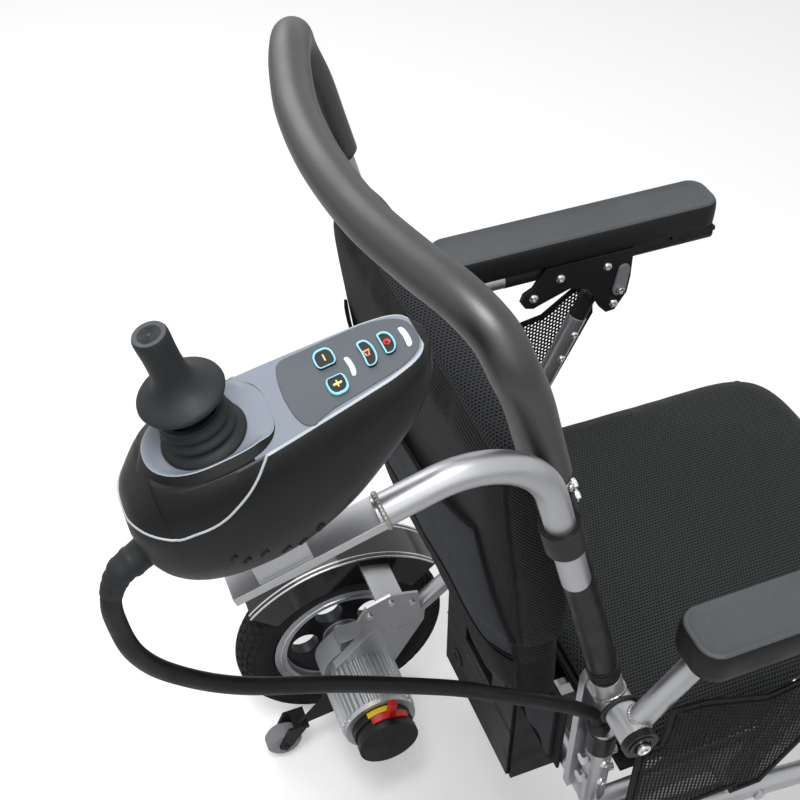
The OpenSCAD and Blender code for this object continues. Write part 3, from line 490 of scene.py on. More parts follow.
@dataclass(frozen=True)
class Cloth(Finish):
    """Woven cloth with a sheen: plain basket weave in two of the object's axes."""

    roughness: float = 0.85
    grain: float = 90.0
    pitch: float = 0.0018
    axes: tuple[str, str] = ("X", "Z")
    depth: float = 0.0004
    sheen: float = 0.08
    sheen_roughness: float = 0.5
    round_edge: float = 0.0
    specular: float = 0.1

    def _surface(self, wires: Wiring, place: Socket) -> Surface:
        """Crossing threads.

        Args:
            wires: the material's wiring.
            place: the object coordinates.

        Returns:
            Sockets for colour, roughness and height, and None.
        """
        parts = wires.split(place)
        across, along = (parts[axis] for axis in self.axes)
        weave = wires.use(Effects.basket(), Across=across, Along=along, Pitch=self.pitch)
        grain = wires.use(Effects.grain(), Vector=place, Scale=self.grain, Drift=self.drift)
        shade = wires.math("MULTIPLY", weave["Shade"], grain["Shade"])
        return wires.tint(tone(self.colour), shade), self._rough(wires, place), weave["Height"], None

    def _constants(self) -> dict[str, float]:
        """Plain numbers of the shader, with a cloth sheen."""
        return {**super()._constants(), "Sheen Weight": self.sheen, "Sheen Roughness": self.sheen_roughness}


@dataclass(frozen=True)
class OpenCloth(Cloth):
    """Spacer mesh: rows of small dark holes, solid ribs below a level."""

    grain: float = 700.0
    pitch_along: float = 0.004
    hole: float = 0.28
    hole_colour: Colour = (0.004, 0.004, 0.005)
    rib_level: float = 0.0
    rib_pitch: float = 0.0042
    rib_blend: float = 0.0004
    wrap: bool = False
    see_through: bool = False

    def _surface(self, wires: Wiring, place: Socket) -> Surface:
        """Holes and ribs.

        Args:
            wires: the material's wiring.
            place: the object coordinates.

        Returns:
            Sockets for colour, roughness and height, and for alpha where the holes are open.
        """
        parts = wires.split(place)
        across, level = (parts[axis] for axis in self.axes)
        along = wires.math("SUBTRACT", level, parts["Y"]) if self.wrap else level
        net = wires.use(Effects.holes(), Across=across, Along=along, Pitch_across=self.pitch,
                        Pitch_along=self.pitch_along, Hole=self.hole)
        grain = wires.use(Effects.grain(), Vector=place, Scale=self.grain, Drift=self.drift)
        tinted = wires.tint(tone(self.colour), grain["Shade"])
        colour = wires.mix(net["Hole"], tinted, self.hole_colour)
        height = net["Height"]
        if self.rib_level > 0:
            ridge = wires.use(Effects.ribs(), Along=along, Pitch=self.rib_pitch)["Ridge"]
            edge = wires.ramp(level, self.rib_level - self.rib_blend, self.rib_level + self.rib_blend,
                              1.0, 0.0)
            # The rib band is darker than the mesh, down to near black in the grooves, which is painted shade
            # in the grooves.
            ribbed = wires.tint(tinted, wires.math("MULTIPLY_ADD", ridge, 0.6, 0.06))
            colour = wires.mix(edge, colour, ribbed)
            keep = wires.math("SUBTRACT", 1.0, edge)
            height = wires.math("ADD", wires.math("MULTIPLY", height, keep),
                                wires.math("MULTIPLY", ridge, edge))
        alpha = wires.math("SUBTRACT", 1.0, net["Hole"]) if self.see_through else None
        return colour, self._rough(wires, place), height, alpha


@dataclass(frozen=True)
class WheelFinish(Finish):
    """Alloy wheel with a dark painted web between a bright lip and a bright hub."""

    centre: Pair = (0.0, 0.0)
    web: Display = (46, 47, 50)
    web_from: float = 0.027
    web_to: float = 0.079
    blend: float = 0.0005

    def _surface(self, wires: Wiring, place: Socket) -> Surface:
        """Adds the web's paint by distance from the axle.

        Args:
            wires: the material's wiring.
            place: the object coordinates.

        Returns:
            Sockets for colour, roughness and height, and None.
        """
        colour, rough, height, alpha = super()._surface(wires, place)
        parts = wires.split(place)
        sides = [wires.math("SUBTRACT", parts[axis], middle) for axis, middle in zip("YZ", self.centre)]
        squares = [wires.math("MULTIPLY", side, side) for side in sides]
        reach = wires.math("SQRT", wires.math("ADD", *squares))
        inside = wires.ramp(reach, self.web_from - self.blend, self.web_from + self.blend)
        outside = wires.ramp(reach, self.web_to - self.blend, self.web_to + self.blend, 1.0, 0.0)
        colour = wires.mix(wires.math("MULTIPLY", inside, outside), colour, tone(self.web))
        return colour, rough, height, alpha


class FinishBook:
    """All finishes of the chair, by what they are used on."""

    frame = Finish("satin_silver_tube", (174, 175, 178), 0.34, 0.9, 900, 1e-5, 0.10, (225, 226, 228), 0.25,
        0.10)
    casting = Finish("cast_hinge_silver", (178, 180, 184), 0.44, 0.85, 700, 6e-5, 0.16, (228, 229, 231),
        0.4, 0.12)
    steel = Finish("bright_steel", (205, 206, 208), 0.22, 1, 500, 1e-5, 0.12, (240, 240, 240), 0.3, 0.12)
    bead = Finish("weld_bead", (150, 148, 146), 0.38, 0.9, 260, 0.00012, 0.5, (200, 180, 140), 0.2, 0.2,
        round_edge=0)
    plastic = Finish("black_moulding", (20, 20, 22), 0.48, 0, 1200, 5e-5, 0.2, (92, 92, 96), 0.35, 0.12)
    cap = Finish("black_cap", (14, 14, 16), 0.36, 0, 1400, 3e-5, 0.2, (84, 84, 88), 0.4, 0.14)
    sleeve = Finish("shrink_sleeve", (12, 12, 14), 0.34, 0, 60, 0.0005, 0.25, (60, 60, 62), 0.1, 0.15,
        round_edge=0, specular=0.25)
    foam = Finish("foam_rubber", (14, 15, 18), 0.4, 0, 1500, 0.0001, 0.25, (70, 70, 72), 0, 0.06,
        round_edge=0, specular=0.95)
    rubber = Finish("stick_rubber", (34, 36, 38), 0.5, 0, 1100, 0.00012, 0.2, (80, 80, 84), 0.25, 0.1)
    # Paler rubber for the knob's top: a painted highlight on its upward faces.
    stick_top = Finish("stick_top_rubber", (74, 78, 83), 0.5, 0, 1100, 0.00012, 0.2, (100, 100, 104), 0.25,
        0.1)
    cable = Finish("cable_sheath", (15, 15, 17), 0.46, 0, 500, 5e-5, 0.2, (70, 70, 72), 0, 0.15,
        round_edge=0)
    deck = Finish("controller_deck", (130, 138, 149), 0.42, 0, 1500, 5e-5, 0.12, (160, 161, 165), 0.3, 0.08)
    # Pale finish of the deck's edge, the dome's rim and the split line: a painted highlight.
    bezel = Finish("controller_bevel", (178, 185, 192), 0.34, 0, 1500, 3e-5, 0.1, (190, 190, 194), 0.2,
        0.08, round_edge=0)
    shell = Finish("controller_shell", (14, 14, 16), 0.38, 0, 1400, 4e-5, 0.15, (110, 110, 114), 0.2, 0.1)
    keypad = Finish("keypad_panel", (90, 95, 101), 0.6, 0, 1600, 4e-5, 0.1, (130, 130, 134), 0.25, 0.08)
    key = Finish("key_cap", (22, 23, 25), 0.4, 0, 1500, 3e-5, 0.12, (70, 70, 72), 0.1, 0.08)
    outline = Finish("key_outline", (150, 214, 236), 0.5, 0, 900, 2e-5, 0.1, (200, 220, 235), 0.1, 0.08,
        round_edge=0)
    yellow = Finish("mark_yellow", (240, 232, 150), 0.5, 0, 900, 2e-5, 0.1, (250, 230, 120), 0.1, 0.08,
        round_edge=0)
    label = Finish("label_yellow", (232, 196, 40), 0.5, 0, 900, 2e-5, 0.1, (250, 230, 120), 0.1, 0.08,
        round_edge=0)
    orange = Finish("mark_orange", (240, 160, 130), 0.5, 0, 900, 2e-5, 0.1, (250, 180, 110), 0.1, 0.08,
        round_edge=0)
    red = Finish("lever_red", (188, 22, 28), 0.38, 0, 1200, 3e-5, 0.15, (225, 90, 90), 0.4, 0.1, 0.3)
    window = Finish("lamp_window", (222, 230, 238), 0.25, 0, 800, 2e-5, 0.1, (220, 220, 230), 0.1, 0.05,
        0.6)
    pad = Finish("pad_skin", (18, 18, 20), 0.5, 0, 900, 0.0001, 0.15, (74, 74, 78), 0.15, 0.1, round_edge=0)
    # Paler copy of the pad's skin for its top and rounded upper edge: painted light on the upward faces.
    pad_top = Finish("pad_top_grain", (72, 75, 78), 0.42, 0, 700, 0.0006, 0.5, (110, 110, 114), 0, 0.1,
        round_edge=0, specular=0.4)
    latch = Finish("latch_grey", (128, 130, 134), 0.46, 0.2, 900, 4e-5, 0.15, (190, 190, 192), 0.35, 0.1)
    fender = Finish("fender_gloss", (10, 10, 11), 0.10, 0, 300, 4e-6, 0.1, (60, 60, 64), 0.12, 0.06,
        specular=0.5)
    alloy = Finish("motor_alloy", (178, 180, 183), 0.42, 0.9, 900, 5e-5, 0.16, (225, 226, 228), 0.45, 0.14)
    tyre = Finish("tyre_rubber", (24, 24, 26), 0.78, 0, 800, 0.00015, 0.3, (92, 90, 86), 0.3, 0.1)
    tip = Finish("tip_tyre_grey", (142, 143, 146), 0.68, 0, 700, 0.0001, 0.2, (110, 108, 104), 0.3, 0.1)
    board = Finish("seat_board", (32, 31, 30), 0.7, 0, 300, 0.0002, 0.3, (90, 86, 80), 0.3, 0.1)
    piping = Cloth("edge_piping", (13, 13, 15), pitch=0.0014, axes=("Y", "Z"))
    seat = OpenCloth("seat_spacer_mesh", (57, 60, 59), pitch=0.0038, pitch_along=0.0034, hole=0.30,
        axes=("X", "Y"), depth=0.0006)
    back = OpenCloth("back_spacer_mesh", (54, 56, 59), pitch=0.0034, pitch_along=0.0038, hole=0.32,
        axes=("X", "Z"), depth=0.0007, rib_level=0.908, rib_pitch=0.0036, wrap=True)
    pocket = Cloth("pocket_weave", (50, 53, 59), pitch=0.0016, axes=("X", "Z"))
    tape = Cloth("grey_tape", (100, 108, 122), pitch=0.0013, axes=("X", "Z"))
    skirt = Cloth("skirt_cloth", (16, 16, 18), pitch=0.0016, axes=("X", "Z"))
    net = OpenCloth("guard_net", (13, 13, 15), pitch=0.0042, pitch_along=0.0052, hole=0.33, axes=("Y", "Z"),
        depth=0.0004, see_through=True)


BOOK = FinishBook()
ACROSS, AHEAD, BEHIND, UP = (Vector(v) for v in ((1, 0, 0), (0, -1, 0), (0, 1, 0), (0, 0, 1)))
SQUARE = ((-1, -1), (1, -1), (1, 1), (-1, 1))


# Mesh tools


def round_box(angle: float, half_x: float, half_y: float, power: float) -> Pair:
    """A point on a rounded rectangle.

    Args:
        angle: direction in radians.
        half_x, half_y: half sizes.
        power: how square the corners are.

    Returns:
        The point's two coordinates.
    """
    c, s = math.cos(angle), math.sin(angle)
    bend = 2 / power
    return (half_x * math.copysign(abs(c) ** bend, c), half_y * math.copysign(abs(s) ** bend, s))


def curve_through(points: Sequence[Sequence[float]], steps: int = 8) -> list[tuple[float, ...]]:
    """A smooth line through points.

    Args:
        points: the points to pass.
        steps: pieces between two points.

    Returns:
        Points along a Catmull-Rom curve.
    """
    data = np.array(points, float)
    ends = np.vstack([2 * data[0] - data[1], data, 2 * data[-1] - data[-2]])
    out = []
    for i in range(1, len(ends) - 2):
        a, b, c, d = ends[i - 1], ends[i], ends[i + 1], ends[i + 2]
        for k in range(steps):
            t = k / steps
            out.append(0.5 * (2 * b + (c - a) * t + (2 * a - 5 * b + 4 * c - d) * t * t
                              + (3 * b - a - 3 * c + d) * t ** 3))
    out.append(ends[-2])
    return [tuple(float(x) for x in p) for p in out]


def turns(count: int) -> list[float]:
    """Angles of a full turn in equal steps."""
    return [math.tau * j / count for j in range(count)]


def circle(centre: Vector, axis: Vector, radius: float, count: int = 48) -> list[Vector]:
    """Points of a circle about an axis, in metres."""
    side = axis.orthogonal().normalized()
    return [centre + Quaternion(axis, a) @ side * radius for a in turns(count)]


def rim_of(rows: Sequence[list[Vector]]) -> list[Vector]:
    """The outer points of a grid, in order round it."""
    return (rows[0] + [row[-1] for row in rows[1:]] + rows[-1][-2::-1]
            + [row[0] for row in rows[-2:0:-1]])


def place_object(name: str, data: bpy.types.ID) -> Piece:
    """Puts new data into the scene.

    Args:
        name: the object's name.
        data: a mesh, lamp or camera.

    Returns:
        The new object.
    """
    made = bpy.data.objects.new(name, data)
    bpy.context.scene.collection.objects.link(made)
    return made


def saddle(centre: Vector, along: Vector, tube: float, barrel: float, count: int = 56) -> list[Vector]:
    """Where a tube meets a barrel that lies along x.

    Args:
        centre: where the two axes cross.
        along: the tube's direction, square to x.
        tube, barrel: their radii in metres.
        count: points in the loop.

    Returns:
        The closed line of the joint.
    """
    rise = along.cross(ACROSS).normalized()
    out = []
    for a in turns(count):
        lift = math.sqrt(max(0.0, barrel ** 2 - (tube * math.sin(a)) ** 2))
        out.append(centre + ACROSS * tube * math.cos(a) + rise * tube * math.sin(a) + along * lift)
    return out


@dataclass
class Shape:
    """Points and faces of one piece, with a finish number for each face."""

    points: list[Vector] = field(default_factory=list)
    faces: list[tuple[int, ...]] = field(default_factory=list)
    marks: list[int] = field(default_factory=list)

    def add(self, points: Sequence[Vector], faces: Sequence[Sequence[int]], mark: int = 0) -> "Shape":
        """Adds points and faces.

        Args:
            points: the new points.
            faces: corners of each face, counted from the first new point.
            mark: finish number of the faces.

        Returns:
            The shape itself.
        """
        base = len(self.points)
        self.points.extend(points)
        self.faces.extend(tuple(base + i for i in face) for face in faces)
        self.marks.extend([mark] * len(faces))
        return self

    def skin(self, rings: Sequence[Sequence[Vector]], mark: int = 0, caps: bool = True,
             loop: bool = False, open_ring: bool = False) -> "Shape":
        """Joins rings of equal count with faces.

        Args:
            rings: the rings in order.
            mark: finish number of the faces.
            caps: whether the first and last ring are closed.
            loop: whether the last ring joins the first.
            open_ring: whether each ring is a line with two ends.

        Returns:
            The shape itself.
        """
        n, rows = len(rings[0]), len(rings)
        faces: list[tuple[int, ...]] = []
        for i in range(rows if loop else rows - 1):
            k = (i + 1) % rows
            for j in range(n - 1 if open_ring else n):
                m = (j + 1) % n
                faces.append((i * n + j, i * n + m, k * n + m, k * n + j))
        if caps and not loop and not open_ring:
            faces.append(tuple(reversed(range(n))))
            faces.append(tuple(range((rows - 1) * n, rows * n)))
        return self.add([p for ring in rings for p in ring], faces, mark)

    def tube(self, path: Sequence[Vector], radius: float | Sequence[float], sides: int = 16,
             mark: int = 0, loop: bool = False, flat: float = 1.0) -> "Shape":
        """Sweeps a round or flattened section along a line.

        Args:
            path: the line's points.
            radius: one radius, or one for each point.
            sides: corners of the section.
            mark: finish number.
            loop: whether the line is closed.
            flat: thickness of the section as a share of its width.

        Returns:
            The shape itself.
        """
        count = len(path)
        radii = [radius] * count if isinstance(radius, (int, float)) else list(radius)
        rings, side, last = [], None, None
        for i, point in enumerate(path):
            ahead = path[(i + 1) % count] if loop or i < count - 1 else point
            behind = path[i - 1] if loop or i > 0 else point
            along = (ahead - behind).normalized()
            if side is None:
                side = along.orthogonal().normalized()
            else:
                side = (last.rotation_difference(along) @ side).normalized()
            last = along
            up = along.cross(side).normalized()
            rings.append([point + radii[i] * (math.cos(a) * side + flat * math.sin(a) * up)
                          for a in turns(sides)])
        return self.skin(rings, mark, loop=loop)

    def lathe(self, centre: Vector, axis: Vector, profile: Sequence[Pair], sides: int = 40,
              mark: int = 0, loop: bool = False) -> "Shape":
        """Turns a profile about an axis.

        Args:
            centre: where the heights start.
            axis: direction of the heights.
            profile: radius and height of each corner in metres.
            sides: corners of each ring.
            mark: finish number.
            loop: whether the profile is closed.

        Returns:
            The shape itself.
        """
        side = axis.orthogonal().normalized()
        up = axis.cross(side)
        rings = []
        for radius, height in profile:
            reach = max(radius, 1e-5)
            rings.append([centre + axis * height + reach * (math.cos(a) * side + math.sin(a) * up)
                          for a in turns(sides)])
        return self.skin(rings, mark, loop=loop)

    def bolt(self, seat: Vector, axis: Vector, radius: float, kind: BoltKind, mark: int = 0) -> "Shape":
        """Adds a fastener head.

        Args:
            seat: the middle of the face that it sits on.
            axis: direction out of that face.
            radius: radius of the head in metres.
            kind: the head's form.
            mark: finish number.

        Returns:
            The shape itself.
        """
        side = axis.orthogonal().normalized()
        up = axis.cross(side)
        sixth = math.pi / 3
        rings = []
        for share, lift, six in kind.value:
            ring = []
            for a in turns(24):
                reach = radius * share
                if six:
                    reach = reach / math.cos(a % sixth - sixth / 2) * 0.92
                ring.append(seat + axis * (radius * lift) + reach * (math.cos(a) * side + math.sin(a) * up))
            rings.append(ring)
        return self.skin(rings, mark)

    def weld(self, path: Sequence[Vector], radius: float, step: float = 0.0028, mark: int = 0) -> "Shape":
        """Adds a rippled weld bead along a closed line.

        Args:
            path: the line.
            radius: half the bead's width.
            step: length of one ripple.
            mark: finish number.

        Returns:
            The shape itself.
        """
        fine, radii, run = [], [], 0.0
        count = len(path)
        for i in range(count):
            a, b = path[i], path[(i + 1) % count]
            pieces = max(1, round((b - a).length / (step / 4)))
            for k in range(pieces):
                fine.append(a.lerp(b, k / pieces))
                radii.append(radius * (0.8 + 0.28 * abs(math.sin(math.pi * run / step))))
                run += (b - a).length / pieces
        return self.tube(fine, radii, 8, mark, loop=True)

    def prism(self, outline: Sequence[Vector], lift: Vector, mark: int = 0, bevel: float = 0.12) -> "Shape":
        """Raises a closed outline into a plate with a bevelled top.

        Args:
            outline: the closed line.
            lift: thickness as a vector.
            mark: finish number.
            bevel: how far the top draws in, as a share of the thickness.

        Returns:
            The shape itself.
        """
        middle = sum(outline, Vector()) / len(outline)
        draw = lift.length * bevel
        inner = [p + lift + (middle - p).normalized() * draw for p in outline]
        rings = [list(outline), [p + lift * (1 - bevel) for p in outline], inner]
        return self.skin(rings, mark)

    def cloth(self, front: Sequence[list[Vector]], rear: Sequence[list[Vector]]) -> "Shape":
        """Joins the two faces of a cloth along their rims."""
        self.skin(front, open_ring=True).skin(rear, open_ring=True)
        return self.skin([rim_of(front), rim_of(rear)], caps=False)

    def piece(self, name: str, finishes: Sequence[Finish], body: str | None, slot: str,
              sharp: float = 38.0, weld: bool = False) -> Piece:
        """Makes the object.

        Args:
            name: its name.
            finishes: finishes by number.
            body: the body that it rides, or None if it is placed later.
            slot: the record's material slot; not used.
            sharp: angle in degrees above which an edge stays sharp.
            weld: whether points at one place become one, so that a sheet's two faces and rim join.

        Returns:
            The new object.
        """
        mesh = bpy.data.meshes.new(name)
        mesh.from_pydata(self.points, [], self.faces)
        mesh.polygons.foreach_set("material_index", self.marks)
        for finish in finishes:
            mesh.materials.append(finish.material())
        work = bmesh.new()
        work.from_mesh(mesh)
        if weld:
            bmesh.ops.remove_doubles(work, verts=work.verts, dist=1e-6)
        bmesh.ops.recalc_face_normals(work, faces=work.faces)
        work.to_mesh(mesh)
        work.free()
        mesh.shade_smooth()
        mesh.set_sharp_from_angle(angle=math.radians(sharp))
        made = place_object(name, mesh)
        if body is not None:
            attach(made, body)
        LOG.info("piece %s: %d faces", name, len(self.faces))
        return made


@dataclass(frozen=True)
class Stuffing:
    """How a padded cover is blown up by cloth simulation."""

    voxel: float = 0.005
    pressure: float = 4.0
    cap: float = 0.008
    frames: int = 20

    def fill(self, made: Piece, keep_in: Callable[[np.ndarray], np.ndarray]) -> None:
        """Remeshes the cover, blows it up and holds it in its room.

        Args:
            made: the closed cover.
            keep_in: takes the points' places and gives the nearest ones allowed.
        """
        scene = bpy.context.scene
        net = made.modifiers.new("net", "REMESH")
        net.mode, net.voxel_size = "VOXEL", self.voxel
        self._apply(made)
        rest = self._places(made.data)
        cloth = made.modifiers.new("cloth", "CLOTH")
        cloth.settings.use_pressure = True
        cloth.settings.uniform_pressure_force = self.pressure
        cloth.settings.effector_weights.gravity = 0.0
        cloth.settings.quality = 4
        cloth.point_cache.frame_start, cloth.point_cache.frame_end = 1, self.frames
        for frame in range(1, self.frames + 1):
            scene.frame_set(frame)
        self._apply(made)
        scene.frame_set(1)
        move = self._places(made.data) - rest
        far = np.linalg.norm(move, axis=1, keepdims=True)
        place = keep_in(rest + move * np.minimum(1.0, self.cap / np.maximum(far, 1e-9)))
        made.data.vertices.foreach_set("co", place.ravel().astype(np.float32))
        made.data.update()
        made.data.shade_smooth()
        finer = made.modifiers.new("finer", "SUBSURF")
        finer.levels = finer.render_levels = 1
        self._apply(made)

    @staticmethod
    def _places(mesh: bpy.types.Mesh) -> np.ndarray:
        """The points of a mesh.

        Args:
            mesh: the mesh.

        Returns:
            One row for each point, in metres.
        """
        flat = np.empty(len(mesh.vertices) * 3, np.float32)
        mesh.vertices.foreach_get("co", flat)
        return flat.reshape(-1, 3).astype(float)

    @staticmethod
    def _apply(made: Piece) -> None:
        """Turns the modified mesh into the object's own mesh.

        Args:
            made: the object.
        """
        graph = bpy.context.evaluated_depsgraph_get()
        mesh = bpy.data.meshes.new_from_object(made.evaluated_get(graph))
        made.modifiers.clear()
        old, made.data = made.data, mesh
        bpy.data.meshes.remove(old)
        mesh.name = made.name


def surface_finder(made: Piece) -> Finder:
    """Makes a finder of points on a piece.

    Args:
        made: the piece, at rest in the row frame.

    Returns:
        A function of a start and a direction that gives the point hit, or None.
    """
    tree = BVHTree.FromObject(made, bpy.context.evaluated_depsgraph_get())

    def find(start: Vector, along: Vector) -> Vector | None:
        """The first point along a line, or the nearest point where no line is given."""
        return tree.ray_cast(start, along)[0] if along.length else tree.find_nearest(start)[0]

    return find


# Studio


@dataclass(frozen=True)
class Studio(Assembly):
    """Camera at the photograph's place, pale floor, white background and soft light."""

    eye: Triple = (-725.14, 392.28, 1555.54)
    right: Triple = (-0.3632039, -0.9317065, -0.0024402)
    down: Triple = (-0.6433060, 0.2526705, -0.7227136)
    view: Triple = (0.6739736, -0.2609226, -0.6911433)
    lens: float = 57.087
    floor_half: float = 9.0
    floor_gap: float = 0.0005
    floor_lift: float = 0.3
    floor: Colour = (0.93, 0.93, 0.93)
    sky: float = 0.30

    def build(self) -> None:
        """Sets up camera, floor, sky and lamps."""
        self._camera()
        self._floor()
        self._sky()
        aim = self.at(0, 0, 700)
        self._lamp("key_lamp", self.at(-700, 500, 3200), aim, 1.0, 52.0)
        self._lamp("fill_lamp", self.at(-2300, 300, 2300), aim, 2.0, 14.0)
        self._lamp("back_lamp", self.at(2300, 600, 2500), aim, 1.8, 26.0)
        bpy.context.scene.view_settings.view_transform = "Standard"

    def _camera(self) -> None:
        """Places the camera from its calibrated axes."""
        data = bpy.data.cameras.new("photo_camera")
        data.sensor_fit, data.sensor_width, data.lens = "HORIZONTAL", 36.0, self.lens
        data.clip_start = 0.05
        camera = place_object("photo_camera", data)
        axes = Matrix((self.right, tuple(-v for v in self.down), tuple(-v for v in self.view))).transposed()
        camera.matrix_world = Matrix.Translation(self.at(*self.eye)) @ axes.to_4x4()
        bpy.context.scene.camera = camera

    def _floor(self) -> None:
        """A pale floor that keeps the shadow."""
        half = self.floor_half
        mesh = bpy.data.meshes.new("studio_floor")
        corners = [(half * a, half * b, -self.floor_gap) for a, b in SQUARE]
        mesh.from_pydata(corners, [], [(0, 1, 2, 3)])
        made = bpy.data.materials.new("studio_floor")
        made.use_nodes = True
        shader = made.node_tree.nodes["Principled BSDF"]
        wires = Wiring(made.node_tree)
        place = wires.add("ShaderNodeTexCoord").outputs["Object"]
        grain = wires.use(Effects.grain(), Vector=place, Scale=40.0, Drift=0.01)
        seen = wires.add("ShaderNodeLightPath").outputs["Is Camera Ray"]
        wires.fill(shader, Base_Color=wires.tint(self.floor, grain["Shade"]), Roughness=0.9,
                   Emission_Color=(1.0, 1.0, 1.0, 1.0),
                   Emission_Strength=wires.math("MULTIPLY", seen, self.floor_lift))
        mesh.materials.append(made)
        place_object("studio_floor", mesh)

    def _sky(self) -> None:
        """White to the camera and in reflections, softer as a light."""
        world = bpy.data.worlds.new("studio_sky")
        world.use_nodes = True
        bpy.context.scene.world = world
        wires = Wiring(world.node_tree)
        shader = world.node_tree.nodes["Background"]
        ray = wires.add("ShaderNodeLightPath").outputs
        seen = wires.math("MAXIMUM", ray["Is Camera Ray"], ray["Is Transmission Ray"])
        seen = wires.math("MAXIMUM", seen, ray["Is Glossy Ray"])
        strength = wires.math("MULTIPLY_ADD", seen, 1.0 - self.sky, self.sky)
        wires.fill(shader, Color=(1.0, 1.0, 1.0, 1.0), Strength=strength)

    @staticmethod
    def _lamp(name: str, place: Vector, aim: Vector, size: float, power: float) -> None:
        """Adds a large square lamp that looks at a point.

        Args:
            name: its name.
            place, aim: where it stands and looks, in metres.
            size: its side in metres.
            power: its power in watts.
        """
        data = bpy.data.lights.new(name, "AREA")
        data.shape, data.size, data.energy = "SQUARE", size, power
        lamp = place_object(name, data)
        lamp.location = place
        lamp.rotation_euler = (aim - place).to_track_quat("-Z", "Y").to_euler()


# Control cable


@dataclass(frozen=True)
class ControlCable(Assembly):
    """The cable from under the controller, down its bow and into the frame."""

    diameter: float = 13.0
    points: tuple[Triple, ...] = (
        (-234, 366, 983), (-236, 377, 977), (-237, 385, 960), (-236, 386, 935), (-233, 379, 893),
        (-228, 358, 853), (-219, 314, 803), (-211, 236, 751), (-207, 150, 693), (-213, 110, 670),
        (-217, 72, 645), (-219, 40, 620), (-218, 20, 598), (-216, 11, 582), (-215, 7, 566))
    steps: int = 10
    relief: float = 0.052

    def build(self) -> None:
        """Lays the cable and its ribbed strain relief."""
        path = self.line(curve_through(self.points, self.steps))
        length = sum((b - a).length for a, b in zip(path, path[1:]))
        made = Shape().tube(path, self.diameter / 2 * MM, 20).piece(
            "control_cable", [BOOK.cable], None, "cable_black")
        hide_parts("controller_cable")
        self.at(-215, 7, 575)
        self.at(-219, 60, 655)
        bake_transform(made)
        relief = self._relief(path).piece("cable_strain_relief", [BOOK.rubber], "backrest", "stick_rubber")
        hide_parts("cable_gland")
        entry = self.at(*self.points[-1]) + Vector((0, 0, -0.002))
        collar = Shape().lathe(entry, UP, [
            (0.0068, 0), (0.0105, 0), (0.0112, 0.002), (0.0106, 0.006), (0.0082, 0.009), (0.0068, 0.010)],
            28, loop=True).piece("cable_entry_grommet", [BOOK.rubber], "seat_frame", "stick_rubber")
        tuple(path[0])
        [tuple(p) for p in path]

    def _relief(self, path: Sequence[Vector]) -> Shape:
        """A tapered sleeve with rings, from inside the shell onto the cable.

        Args:
            path: the cable's line.

        Returns:
            The sleeve's shape.
        """
        along = (path[1] - path[0]).normalized()
        line = [path[0] - along * 0.022, path[0] - along * 0.011] + list(path[0:34])
        kept, radii, run = [], [], 0.0
        for i, point in enumerate(line):
            run += (point - line[i - 1]).length if i else 0.0
            if run > self.relief:
                break
            taper = 0.0100 - 0.0026 * min(1.0, max(0.0, (run - 0.024) / 0.024))
            ring = 0.0005 if int(run / 0.0035) % 2 == 0 and run > 0.022 else 0.0
            kept.append(point)
            radii.append(max(taper - ring, 0.0072))
        return Shape().tube(kept, radii, 24)


# Back: hoop, cover, pocket


@dataclass(frozen=True)
class BackPost:
    """Centre lines of the two leaning back posts."""

    x: float = 214.0
    hinge_z: float = 612.0
    recline: float = 15.5

    def along(self) -> Vector:
        """Direction up the posts."""
        return Vector((0, math.sin(math.radians(self.recline)), math.cos(math.radians(self.recline))))

    def ahead(self) -> Vector:
        """Direction out of the posts' front."""
        return Vector((0, -math.cos(math.radians(self.recline)), math.sin(math.radians(self.recline))))

    def at(self, run: float, side: Side) -> Triple:
        """A point on a post at a distance from the hinge."""
        along = self.along()
        return (side.value * self.x, along.y * run, self.hinge_z + along.z * run)

    def lean(self, z: float) -> float:
        """How far back the posts are at a height."""
        return (z - self.hinge_z) * math.tan(math.radians(self.recline))


POST = BackPost()


@dataclass(frozen=True)
class PushHoop(Assembly):
    """Foam over the bent push tube, sleeves on the posts."""

    foam_from: float = 320.0
    radius: float = 16.5
    sleeve: float = 0.0132
    folds: int = 9
    crown: tuple[Triple, ...] = ((213, 119.4, 1030.4), (200, 127.4, 1051.4), (171, 138.4, 1061.4),
                                 (130, 151.4, 1062.4), (70, 164.4, 1061.4), (0, 169.4, 1061.4))

    def build(self) -> None:
        """Makes the foam with rounded ends, and the sleeves' folds."""
        half = [*(POST.at(self.foam_from + up, Side.LEFT) for up in (0.0, 41.0, 82.0)), *self.crown]
        other = [(-x, y, z) for x, y, z in reversed(half[:-1])]
        path = self.line(curve_through(half + other, 10))
        run, radii = 0.0, []
        total = sum((b - a).length for a, b in zip(path, path[1:]))
        for i, point in enumerate(path):
            run += (point - path[i - 1]).length if i else 0.0
            end = min(run, total - run) / MM
            radii.append((self.radius - 3.2 * max(0.0, 1 - end / 4.0) ** 2) * MM)
        made = Shape().tube(path, radii, 32).piece("push_foam", [BOOK.foam], "backrest", "foam_black")
        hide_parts("foam_grip")
        folds, axis = Shape(), POST.along()
        for side in Side:
            for i in range(self.folds):
                middle = self.at(*POST.at(40.5 + 1.2 * i + 3.2 * (i % 3), side))
                ring = circle(middle, axis, self.sleeve, 40)
                wavy = [p + axis * 0.0011 * math.sin(3 * j * math.tau / 40 + i) for j, p in enumerate(ring)]
                folds.tube(wavy, 0.0011, 6, loop=True)
        folds.piece("sleeve_folds", [BOOK.sleeve], "backrest", "sleeve_black")


